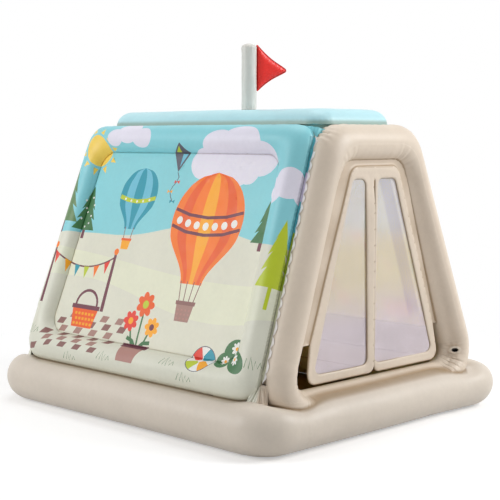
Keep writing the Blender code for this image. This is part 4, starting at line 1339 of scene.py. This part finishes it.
# Corner seams
def grid_film(name, rows, thick, tints, push=lambda points: points):
    """A thin closed film from a grid of places, with its two skins a thickness apart."""
    grid = np.array(rows)
    normal = np.cross(np.gradient(grid, axis=1), np.gradient(grid, axis=0))
    normal /= np.maximum(np.linalg.norm(normal, axis=2), 1e-12)[..., None]
    points = push(np.concatenate([(grid + normal * side * thick / 2).reshape(-1, 3) for side in (1, -1)]))
    count_v, count_u = grid.shape[:2]
    second = count_v * count_u
    faces = []
    for v in range(count_v - 1):
        for u in range(count_u - 1):
            a = v * count_u + u
            quad = (a, a + 1, a + count_u + 1, a + count_u)
            faces += [quad, tuple(second + i for i in reversed(quad))]
    rim = [*range(count_u), *[v * count_u + count_u - 1 for v in range(1, count_v)],
           *[second - 1 - u for u in range(1, count_u)], *[v * count_u for v in range(count_v - 2, 0, -1)]]
    faces += [(b, a, second + a, second + b) for a, b in zip(rim, rim[1:] + rim[:1])]
    flat = np.concatenate([np.asarray(tints).reshape(-1, 3)] * 2)
    colours = np.array([flat[list(face)].mean(0) for face in faces])
    obj = make_mesh(name, points, faces, ["print"], np.full(len(points), UNDARKENED_GAP), None, colours)
    trimmed(obj)
    return obj


def seam_frame(side, end):
    """Along a corner seam, from its frame towards its wall, and out of the tent."""
    along = np.array(seam_direction(side, end))
    normal = np.array(corner_normal(side, end))
    out = np.cross(along, normal)
    if out[0] * SIDES[side] < 0:
        out = -out
    return along, normal, out


def build_corner_strip(side, end):
    """The welded edge of a corner seam, folded over the frame's tube, crimped and scalloped."""
    along, normal, out = seam_frame(side, end)
    start = np.array(seam_point(side, end, WALL_LOW_Z + 0.012))
    length = np.linalg.norm(np.array(seam_point(side, end, WALL_HIGH_Z + 0.014)) - start)
    s = np.linspace(0.0, length, 300)
    line = start + s[:, None] * along
    taper_off = smooth(s / 0.03) * smooth((length - s) / 0.016)
    beat = s + 0.005 * np.sin(s * 23.0) + 0.003 * np.sin(s * 61.0)
    lobe = np.abs(np.sin(math.pi * beat / SCALLOP_PITCH)) ** 0.7
    wide = (0.0050 + 0.0095 * lobe) * (0.2 + 0.8 * taper_off)
    lift = 0.0052 * lobe + 0.0009 * np.sin(2 * math.pi * beat / (SCALLOP_PITCH * 0.37))
    spots, _ = WALLS[side].panel.flat(line)
    spots[:, 0] += np.sign(spots[:, 0]) * 0.03
    # Painted shade: the print darkens and deepens at the root in the groove, and the pale scallops darken
    # between their lobes
    shaded_root = paint(spots) ** 1.9 * 1.05
    edge = np.array(SCALLOP_PALE) * (0.74 + 0.26 * smooth(lobe / 0.45))[:, None]
    rows, tints = [], []
    for share in np.linspace(-0.7, 1.0, 14):
        reach = max(share, 0.0)
        rise = 0.0004 + lift * reach * (1.6 - reach) * taper_off
        aside = share * (wide if share > 0 else STRIP_BACK * taper_off)
        rows.append(line + rise[:, None] * out - aside[:, None] * normal)
        tints.append(shaded_root if share < 0.25 else edge)
    obj = grid_film("corner_strip_%s_%s" % (end, side), rows, FILM_THICK["strip"], tints,
                    lambda points: WALLS[side].clear(FRAMES[end].clear(points, 0.0013), 0.0013))
    finish_piece(obj, "tent", ["corner_weld_%s_%s" % (end, side)])


def corner_film(name, side, end, heights, reach, inset, tints):
    """Slack film across a corner seam: reach gives its two edges, inset its depth at each place."""
    _, normal, out = seam_frame(side, end)
    rows, shades = [], []
    for share, z in zip(np.linspace(0.0, 1.0, len(heights)), heights):
        a = np.linspace(*reach(share), 44)
        rows.append(np.array(seam_point(side, end, z)) + a[:, None] * normal + inset(a, share)[:, None] * out)
        shades.append(tints(a, share))
    obj = grid_film("%s_%s_%s" % (name, end, side), rows, FILM_THICK["corner"], shades)
    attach(obj, "tent")


def build_corner_web(side, end):
    """The slack film that closes a corner between the tops of two tubes, under the roof."""
    def inset(a, share):
        pleat = 0.0018 * np.sin(a * 300.0 + 4.0 * share) * smooth(share * 2)
        lid = np.maximum(share - WEB_LID_FROM, 0.0) / (1.0 - WEB_LID_FROM)
        sunk = 0.003 + 0.007 * np.minimum(share / WEB_LID_FROM, 1.0)
        return pleat - sunk - (9.0 - 4.0 * lid) * a ** 2 - WEB_LID * lid

    def tints(a, share):
        # Painted shade: the film is darker and deeper blue low in the corner, and lighter towards the roof
        high = min(share / WEB_LID_FROM, 1.0)
        return np.tile(np.array(SKY) ** (1.9 - 0.8 * high) * (0.95 + 0.15 * high), (len(a), 1))

    rise = np.linspace(WEB_LOW_Z, WEB_TOP_Z, 26)
    heights = np.concatenate([rise, WEB_TOP_Z + 0.0065 * np.sin(np.linspace(0.14, 1.57, 11))])
    corner_film("corner_web", side, end, heights, lambda share: (-0.045 - 0.008 * share, 0.040), inset, tints)


def build_corner_gusset(side, end):
    """The crumpled film between a wall's lower corner, the frame's foot and the ring."""
    sign = 1.0 if (SIDES[side] > 0) == (ENDS[end] > 0) else -1.0

    def inset(a, share):
        fan = np.arctan2(a - 0.004, 0.045 * (1.15 - share))
        crumple = 0.0020 * np.sin(fan * 13.0 + sign) + 0.0012 * np.sin(fan * 23.0 + 5.0 * share + a * 200.0)
        return 0.001 * (1.0 - share) - 11.0 * (a - 0.003) ** 2 + crumple * smooth((1.0 - share) * 3) - 0.004

    def tints(a, share):
        mix = smooth((a + 0.004) / 0.016)[:, None]
        return np.array(GROUND) * mix + np.array(CREAM) * (1.0 - mix)

    corner_film("corner_gusset", side, end, np.linspace(GUSSET_LOW_Z, GUSSET_TOP_Z, 36),
                lambda share: (-0.030 + 0.012 * share, 0.034 - 0.018 * share), inset, tints)


# Roof, pole and flag
def build_roof():
    corners = box_corners(ROOF_HALF_X, ROOF_HALF_Y, ROOF_CORNER_R)
    rings = [drawn(corners, 20, 0.005)]
    for step in range(1, 9):
        reach = ROOF_EDGE * (1 - math.cos(math.pi / 2 * step / 8))
        rings.append(drawn(grown_corners(corners, -reach), *((16, 0.005) if step < 5 else (8, 0.010))))
    border = drawn(grown_corners(corners, ROOF_HEM), 14, 0.007)
    flat, faces = flat_mesh(border, rings, pitch=0.013, keep=rings[-1])
    _, run, to_edge = nearest(border, flat)
    away = np.maximum(to_edge - ROOF_HEM, 0.0)
    arch = arched(away, ROOF_EDGE)
    u, v = flat[:, 0], flat[:, 1]
    crown = 0.0022 * (1 - (u / ROOF_HALF_X) ** 2) * (1 - (v / ROOF_HALF_Y) ** 2)
    tight = smooth(1.0 - np.hypot(np.abs(u) - ROOF_HALF_X, np.abs(v) - ROOF_HALF_Y) / 0.14)
    tick = ticks(run, 0.0125, 1.2, 23.0)
    pucker = -0.0034 * tick ** 2 * bell(away, 0.016) * smooth(away / 0.002) * tight
    slow = 0.0012 * billow(u * 1.5, v, 3.0) * smooth(away / 0.05)
    hem = 0.0012 + 0.0014 * tick * tight * smooth((ROOF_HEM - to_edge) / ROOF_HEM)
    level = WALL_TOP_Z - 0.0016
    top = level + (ROOF_RISE - 0.0005 + crown + slow) * arch + pucker + hem * (away <= 0)
    low = level - (ROOF_SINK - 0.003) * arched(away, ROOF_UNDER_EDGE)
    front, back = (np.concatenate([flat, z[:, None]], 1) for z in (top, low))
    for tube in (*FRAMES.values(), *WALLS.values()):
        front, back = tube.clear(front, 0.0012), tube.clear(back, 0.0012)
    shared = to_edge < JOINED
    back[shared] = front[shared]
    weld = np.where(away > 0, away, np.maximum(ROOF_HEM - to_edge, 0.0)) * 0.6 + 0.0006
    points, faces, weld = twin_skin(front, back, faces, shared, weld)
    obj = make_mesh("roof_skin", points, faces, ["roof"], weld)
    finish_piece(obj, "tent", ["roof_cushion"])


def spun(name, profile, sides, mats, dent=None, matrix=Matrix.Identity(4), oval=1.0, weld=None, inner=0):
    """A closed turned piece from (radius, height) pairs, top to foot, moved in or out by dent.
    Its first inner rings of faces take the second material."""
    angle = np.linspace(0.0, 2 * math.pi, sides, endpoint=False)
    rows = []
    for radius, height in profile:
        r = radius + (dent(angle, height) if dent is not None and radius > 1e-6 else 0.0 * angle)
        rows.append(np.stack([r * np.cos(angle), r * np.sin(angle) * oval, np.full(sides, height)], 1))
    last = (len(profile) - 1) * sides
    faces = loop_faces(len(profile), sides, False) + [tuple(range(sides)), tuple(range(last, last + sides))]
    world = np.array(matrix)
    points = np.concatenate(rows) @ world[:3, :3].T + world[:3, 3]
    looks = (np.arange(len(faces)) < inner * sides).astype(int)
    obj = make_mesh(name, points, faces, mats, None if weld is None else np.repeat(weld, sides), looks)
    trimmed(obj)
    return obj


def build_pole():
    foot = ROOF_TOP_Z - 0.001
    top = ROOF_TOP_Z + GAP + POLE_LENGTH
    dome = 0.014
    turns = [math.pi / 2 * (step + 0.4) / 9.4 for step in range(10)]
    profile = [(POLE_R * math.sin(t), top - dome * (1 - math.cos(t))) for t in turns]
    profile += [(POLE_R, z) for z in np.linspace(top - dome - 0.004, foot + 0.016, 34)]
    profile += [(POLE_R + out, foot + rise) for out, rise in
                ((-0.0004, 0.011), (-0.0012, 0.007), (-0.0008, 0.004), (0.0030, 0.0026), (0.0075, 0.0018),
                 (0.0078, 0.0004), (0.004 - POLE_R, 0.0))]
    weld = [abs(z - (foot + 0.004)) + 0.001 if r > POLE_R - 0.002 else FAR for r, z in profile]

    def dent(angle, z):
        puckers = 0.0007 * bell(top - dome - z, 0.012) + 0.0008 * bell(z - foot - 0.008, 0.012)
        puckers *= np.cos(angle * 13.0 + 0.8 * np.sin(angle * 3.0))
        return puckers + 0.0003 * np.sin(angle * 3.0 + z * 60.0) - 0.0004

    place = Matrix.Translation((POLE_X, POLE_Y, 0.0))
    obj = spun("pole_skin", profile, 64, ["pole"], dent, place, weld=weld)
    finish_piece(obj, "tent", ["flag_pole"], 60.0)


def build_flag():
    top = POLE_LENGTH - FLAG_DROP
    start = POLE_R - 0.0002
    tip = top - FLAG_HEIGHT * FLAG_TIP_SHARE
    corners = [(start, top - FLAG_HEIGHT, MIN_CORNER_R), (start + FLAG_LENGTH, tip, FLAG_CORNER_R),
               (start, top + 0.003, MIN_CORNER_R)]
    along = (math.cos(FLAG_TURN), math.sin(FLAG_TURN), 0.0)
    panel = Panel((POLE_X, POLE_Y, ROOF_TOP_Z + GAP), along, (0.0, 0.0, 1.0))
    hem, slope = 0.0032, 0.024
    rings = [drawn(grown_corners(corners, -hem), 8, 0.004)]
    rings += [drawn(grown_corners(corners, -hem - slope * 0.6 * (step / 5) ** 2), 6, 0.005)
              for step in range(1, 6)]
    border = drawn(corners, 8, 0.004)
    flat, faces = flat_mesh(border, rings, pitch=0.005)
    _, run, away = nearest(border, flat)
    depth = np.maximum(away - hem, 0.0)
    pucker = 0.0009 * ripple(run, 2.0, 0.55) * bell(depth - 0.006, 0.007) * (depth > 0)
    half = 0.0004 + (FLAG_THICK / 2 - 0.0006) * arched(depth, slope) + pucker
    sway = 0.0008 * ripple(run, 6.0, 0.5) * bell(away, 0.005)
    shared = away < JOINED
    out_share = np.clip((flat[:, 0] - start) / FLAG_LENGTH, 0.0, 1.0)
    pull = 0.010 * np.sin(math.pi * out_share) * np.tanh((flat[:, 1] - tip) / 0.030)
    drawn_in = np.stack([flat[:, 0], flat[:, 1] - pull * (1.0 - 0.35 * out_share)], 1)
    front, back = (panel.at(drawn_in, np.where(shared, sway, sway + half * way)) for way in (1, -1))
    points, faces, weld = twin_skin(front, back, faces, shared, np.abs(away - hem))
    obj = make_mesh("flag_skin", points, faces, ["flag"], weld)
    finish_piece(obj, "tent", ["flag"], 60.0)


# Door
def door_edge_x(z):
    return DOOR_INNER_X + (DOOR_TOP_Z - z) * DOOR_LEAN


def pane_corners(side):
    low = DOOR_LOW_Z + PANE_HEM
    return [(SLIT_HEM_LOW[side], low, PANE_CORNER_R), (CORNER_X[side] - PANE_SIDE, low, PANE_CORNER_R),
            (door_edge_x(PANE_TOP_Z) - PANE_SIDE, PANE_TOP_Z, PANE_CORNER_R),
            (SLIT_HEM_TOP[side], PANE_TOP_Z, PANE_CORNER_R)]


def low_edge(side):
    """The lower edge of a door half and the end of its free side."""
    return [(SLIT_GAP / 2, DOOR_LOW_Z, SLIT_CORNER_R), (CORNER_X[side], DOOR_LOW_Z, DOOR_CORNER_R),
            (FREE_TOP_X[side], WELD_LOW_Z, 0.0)]


def leaf_corners(side):
    """The raised leaf of one door half, open past the slit's top into the other half."""
    return [*low_edge(side), (door_edge_x(LEAF_TOP_Z) - LEAF_INSET[side], LEAF_TOP_Z, LEAF_CORNER_R),
            (OVER_X, LEAF_TOP_Z, 0.0), (OVER_X, SLIT_TOP_Z, 0.0), (SLIT_GAP / 2, SLIT_TOP_Z, 0.0)]


def door_corners(side, past_slit=False):
    """One door half, up to the middle line above the slit or past it."""
    corners = [*low_edge(side), (door_edge_x(WELD_LOW_Z) + FRAME_IN * 0.40, WELD_LOW_Z, 0.0),
               (seam_x(FRAME_TOP_Z) - FRAME_IN - 0.010, HEADER_Z, 0.0)]
    if past_slit:
        return corners + [(OVER_X, HEADER_Z, 0.0), (OVER_X, SLIT_TOP_Z, 0.0), (SLIT_GAP / 2, SLIT_TOP_Z, 0.0)]
    return corners + [(0.0, HEADER_Z, 0.0), (0.0, SLIT_TOP_Z, 0.0), (SLIT_GAP / 2, SLIT_TOP_Z - 0.004, 0.0)]


def fold_ends(side):
    """A place on each side of the fold line, on the part that stays and on the flap."""
    sign = SIDES[side]
    top = Vector((0.0, DOOR_Y, SLIT_TOP_Z))
    low = Vector((sign * CORNER_X[side], DOOR_Y, DOOR_LOW_Z))
    along = (top - low).normalized()
    away = Vector((sign * along.z, 0.0, -sign * along.x)) * FOLD_SPREAD
    return tuple(low + away), tuple(low - away)


def turned(faces, side):
    return faces[:, ::-1] if SIDES[side] < 0 else faces


def build_door(side):
    sign = SIDES[side]
    border = drawn(door_corners(side), 10, 0.006)
    pane = drawn(pane_corners(side), 10, 0.006)
    leaf = drawn(leaf_corners(side), 12, 0.004)
    rings = [pane, drawn(grown_corners(pane_corners(side), LEAF_LIP), 10, 0.006), leaf]
    rings += [drawn(grown_corners(leaf_corners(side), reach), 12, 0.004)
              for reach in (-LEAF_LIP, 0.003, 0.006)]
    flat, faces = flat_mesh(border, rings, pitch=0.0055, hole=pane)
    u, v = flat[:, 0], flat[:, 1]
    _, run, to_pane = nearest(pane, flat)
    to_leaf, to_border, to_edge = (nearest(loop, flat)[2] for loop in
                                   (leaf, border, drawn(door_corners(side, True), 10, 0.006)))
    on_leaf = inside(leaf, flat) | (to_leaf < JOINED)
    signed = np.where(on_leaf, to_leaf, -to_leaf)
    cushion = 0.0008 * np.sin(np.clip(np.minimum(signed, to_pane) / 0.028, 0.0, 1.0) * math.pi)
    pucker = 0.0003 * ripple(run, 2.0, 1.4) * bell(to_pane, 0.012)
    wave = 0.0012 * billow(u * 1.6, v, 0.9 + sign) * smooth(to_edge / 0.03)
    free = smooth(1.0 - (v - DOOR_LOW_Z) / 0.20)
    wave += 0.0020 * free * np.sin(u * 17.0 + sign) * smooth(to_edge / 0.02)
    if side == "left":
        wave += SLIT_CURL * smooth(1.0 - u / 0.045) * smooth((SLIT_TOP_Z - v) / 0.10)
    wave *= np.maximum(smooth(u / 0.04), smooth((SLIT_TOP_Z - v) / 0.04))
    swell = np.minimum(smooth(signed / LEAF_LIP), smooth(to_pane / LEAF_LIP))
    rise = np.where(on_leaf, LEAF_RISE * swell + cushion + pucker, 0.0)
    rise -= BAND_SUNK * smooth(-signed / 0.006) * smooth(to_edge / 0.004)
    rise -= 0.0012 * bell(signed - STITCH_IN, 0.0012) * on_leaf
    low = np.minimum(rise, 0.0)
    film = 0.00035
    seam = (np.abs(u) < JOINED) & (v > SLIT_TOP_Z - 0.001)
    shared = ((to_border < JOINED) | (to_pane < JOINED)) & ~seam
    wave = np.where(seam, 0.0, wave)
    outer = DOOR_Y - wave - np.where(shared, low, rise + film)
    inner = DOOR_Y - wave - low + film
    front, back = (np.stack([u * sign, y, v], 1) for y in (outer, inner))
    # The weld distances darken the stitch and pane weld lines, and paint shade over the sunk band beside the
    # leaf and along the slit's edges
    line = np.minimum(np.abs(signed - STITCH_IN) * 1.6, to_pane * 1.4)
    shade_band = np.minimum(0.0023 + 0.0003 * np.sin(v * 40.0), FULL_SHADE_GAP + to_leaf)
    line = np.minimum(line, np.where(on_leaf, np.abs(signed), shade_band))
    by_slit = (u < 0.020) & (v < SLIT_TOP_Z)
    line = np.minimum(line, np.where(by_slit, to_edge * 0.9, FAR))
    points, made, weld = twin_skin(front, back, turned(faces, side), shared, line)
    obj = make_mesh("door_film_" + side, points, made, ["cream"], weld)
    obj.data.shade_smooth()
    obj.data.set_sharp_from_angle(angle=math.radians(65.0))
    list(fold_ends(side))
    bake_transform(obj)
    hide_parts("door_panel_" + side, "door_flap_" + side)
    area = polygon_area(border) - polygon_area(pane)


def build_net(side):
    border = drawn(grown_corners(pane_corners(side), NET_UNDER), 10, 0.008)
    flat, faces = flat_mesh(border, pitch=0.009)
    _, _, away = nearest(border, flat)
    wave = 0.0018 * billow(flat[:, 0] * 1.8, flat[:, 1] * 1.2, 2.5 + SIDES[side]) * smooth(away / 0.04)
    points = np.stack([flat[:, 0] * SIDES[side], DOOR_Y + 0.0012 - wave, flat[:, 1]], 1)
    obj = make_mesh("door_netting_" + side, points, turned(faces, side), ["net"])
    obj.data.shade_smooth()
    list(fold_ends(side))
    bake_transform(obj)
    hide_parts("door_net_" + side, "door_flap_net_" + side)
    polygon_area(border)


# Valves
def cut_pockets():
    """Open each chamber's skin for its valve."""
    for name in VALVES:
        obj = bpy.data.objects[name + "_skin"]
        radius = VALVE_CUP_R - 0.0004
        cutter = spun("pocket", [(radius, 0.012), (radius, -VALVE_DEPTH - 0.0004)], 40, ["valve"], None,
                      valve_matrix(name), VALVE_OVAL)
        mod = obj.modifiers.new("pocket", "BOOLEAN")
        mod.operation = "DIFFERENCE"
        mod.solver = "EXACT"
        mod.object = cutter
        bpy.context.view_layer.update()
        depsgraph = bpy.context.evaluated_depsgraph_get()
        made = bpy.data.meshes.new_from_object(obj.evaluated_get(depsgraph))
        obj.modifiers.remove(mod)
        old, obj.data = obj.data, made
        made.name = obj.name
        bpy.data.meshes.remove(old)
        bpy.data.objects.remove(cutter)


def valve_matrix(name):
    crest, out, across = VALVES[name]
    up = out.cross(across).normalized()
    across = up.cross(out).normalized()
    matrix = Matrix((across, up, out)).transposed().to_4x4()
    matrix.translation = crest - out * VALVE_SINK
    return matrix


def build_valve(name):
    """A valve's flange and cup, with its plug inside."""
    matrix = valve_matrix(name)
    deep, cup = -VALVE_DEPTH, VALVE_CUP_R - 0.0006
    profile = [(0.0004, deep + 0.0020), (VALVE_BORE_R - 0.0006, deep + 0.0020),
               (VALVE_BORE_R - 0.0002, deep + 0.0030)]
    profile += [(VALVE_BORE_R + out, z) for out, z in ((0.0, -0.0020), (0.0003, 0.0006), (0.0010, 0.0013),
                                                       (0.0022, 0.0014), (0.0032, 0.0009))]
    profile += [(VALVE_FLANGE_R + out, z) for out, z in ((-0.0035, 0.0006), (-0.0010, 0.0004),
                                                         (-0.0002, -0.0002), (-0.0004, -0.0012),
                                                         (-0.0030, -0.0016))]
    profile += [(cup, -0.0020), (cup, deep + 0.0004), (cup - 0.0008, deep), (0.0004, deep)]
    # The bore's floor and wall take the near-black plug colour: painted shade in the hole
    obj = spun(name + "_valve_cup", profile, 64, ["valve", "plug"],
               lambda angle, z: (0.0003 if z > -0.0022 else 0.0) * np.cos(angle * 12.0), matrix, VALVE_OVAL,
               inner=3)
    finish_piece(obj, "tent", [name + "_valve"], 55.0)
    low = deep + 0.0023
    radius = VALVE_BORE_R - 0.0012
    plug = [(r, low + z) for r, z in
            ((0.0004, 0.0080), (0.0035, 0.0080), (0.0042, 0.0076), (0.0044, 0.0066), (radius * 0.6, 0.0062),
             (radius * 0.62, 0.0054), (radius - 0.0006, 0.0052), (radius, 0.0046), (radius, 0.0034),
             (radius - 0.0007, 0.0028), (radius - 0.0007, 0.0018), (radius, 0.0012),
             (radius - 0.0004, 0.0002), (0.0004, 0.0001))]
    obj = spun(name + "_valve_stopper", plug, 48, ["plug"], None, matrix, VALVE_OVAL)
    finish_piece(obj, name + "_plug", [name + "_valve_plug"], 40.0)


# Stage
def build_floor_plane():
    """A pale floor that keeps the shadow near the tent and turns white further out."""
    g = Graph(bpy.data.materials.new("stage"))
    seen = g.seen()
    where = g.add("ShaderNodeTexCoord").outputs["Object"]
    away = g.add("ShaderNodeVectorMath", {0: where}, operation="LENGTH").outputs["Value"]
    far = g.maths("MULTIPLY", g.ramp(away, *STAGE_FADE), seen)
    pale = g.add("ShaderNodeBsdfDiffuse", {"Color": STAGE_TONE})
    lift = g.add("ShaderNodeEmission", {"Color": PURE, "Strength": g.maths("MULTIPLY", seen, STAGE_LIFT)})
    white = g.add("ShaderNodeEmission", {"Color": PURE, "Strength": 1.0})
    lit = g.both(pale.outputs[0], lift.outputs[0])
    mesh = bpy.data.meshes.new("floor_plane")
    corners = [(u, v, 0.0) for u, v, _ in box_corners(STAGE_HALF, STAGE_HALF, 0.0)]
    mesh.from_pydata(corners, [], [(0, 1, 2, 3)])
    mesh.materials.append(g.close(g.both(lit, white.outputs[0], far)))
    floor = bpy.data.objects.new("floor_plane", mesh)
    floor.location.z = -0.0005
    bpy.context.scene.collection.objects.link(floor)


def build_world():
    """Soft light all round, which looks white where it is seen."""
    g = Graph(bpy.data.worlds.new("studio"), "ShaderNodeOutputWorld")
    soft, white = (g.add("ShaderNodeBackground", {"Color": PURE, "Strength": strength}).outputs[0]
                   for strength in (WORLD_LIGHT, 1.0))
    bpy.context.scene.world = g.close(g.both(soft, white, g.seen()))


def build_lights():
    for name, place, aim_z, size, power in LIGHTS:
        data = bpy.data.lights.new(name, "AREA")
        data.shape = "DISK"
        data.size = size
        data.energy = power
        obj = bpy.data.objects.new(name, data)
        bpy.context.scene.collection.objects.link(obj)
        obj.location = place
        aim = Vector((0.0, 0.0, aim_z)) - Vector(place)
        obj.rotation_euler = aim.to_track_quat("-Z", "Y").to_euler()


def shade_contacts(first, second, reach=0.02):
    """Paint shade along the line where two skins touch, through their weld distances."""
    pair = [bpy.data.objects[first], bpy.data.objects[second]]
    for obj, other in (pair, pair[::-1]):
        tree = BVHTree.FromPolygons([v.co for v in other.data.vertices],
                                    [p.vertices for p in other.data.polygons])
        layer = obj.data.attributes["weld"].data
        for vertex in obj.data.vertices:
            gap = tree.find_nearest(vertex.co, reach)[3]
            if gap is not None:
                # Painted shade along the contact: the closer the skins, the darker
                dust_and_shade = FULL_SHADE_GAP + CONTACT_DARK * gap
                layer[vertex.index].value = min(layer[vertex.index].value, dust_and_shade)


build_floor_plane()
build_world()
build_lights()
build_ring()
build_floor()
for end_name in ENDS:
    build_end(end_name)
build_back_sheet()
for side_name in SIDES:
    build_wall(side_name)
    for end_name in ENDS:
        build_corner_strip(side_name, end_name)
        build_corner_web(side_name, end_name)
        build_corner_gusset(side_name, end_name)
build_roof()
build_pole()
build_flag()
for side_name in SIDES:
    build_door(side_name)
    build_net(side_name)
for skin_name in ("front_frame_skin", "back_frame_skin", "left_wall_skin", "right_wall_skin"):
    shade_contacts("ring_skin", skin_name)
cut_pockets()
for valve_name in VALVES:
    build_valve(valve_name)
bpy.context.scene.view_settings.view_transform = "Standard"
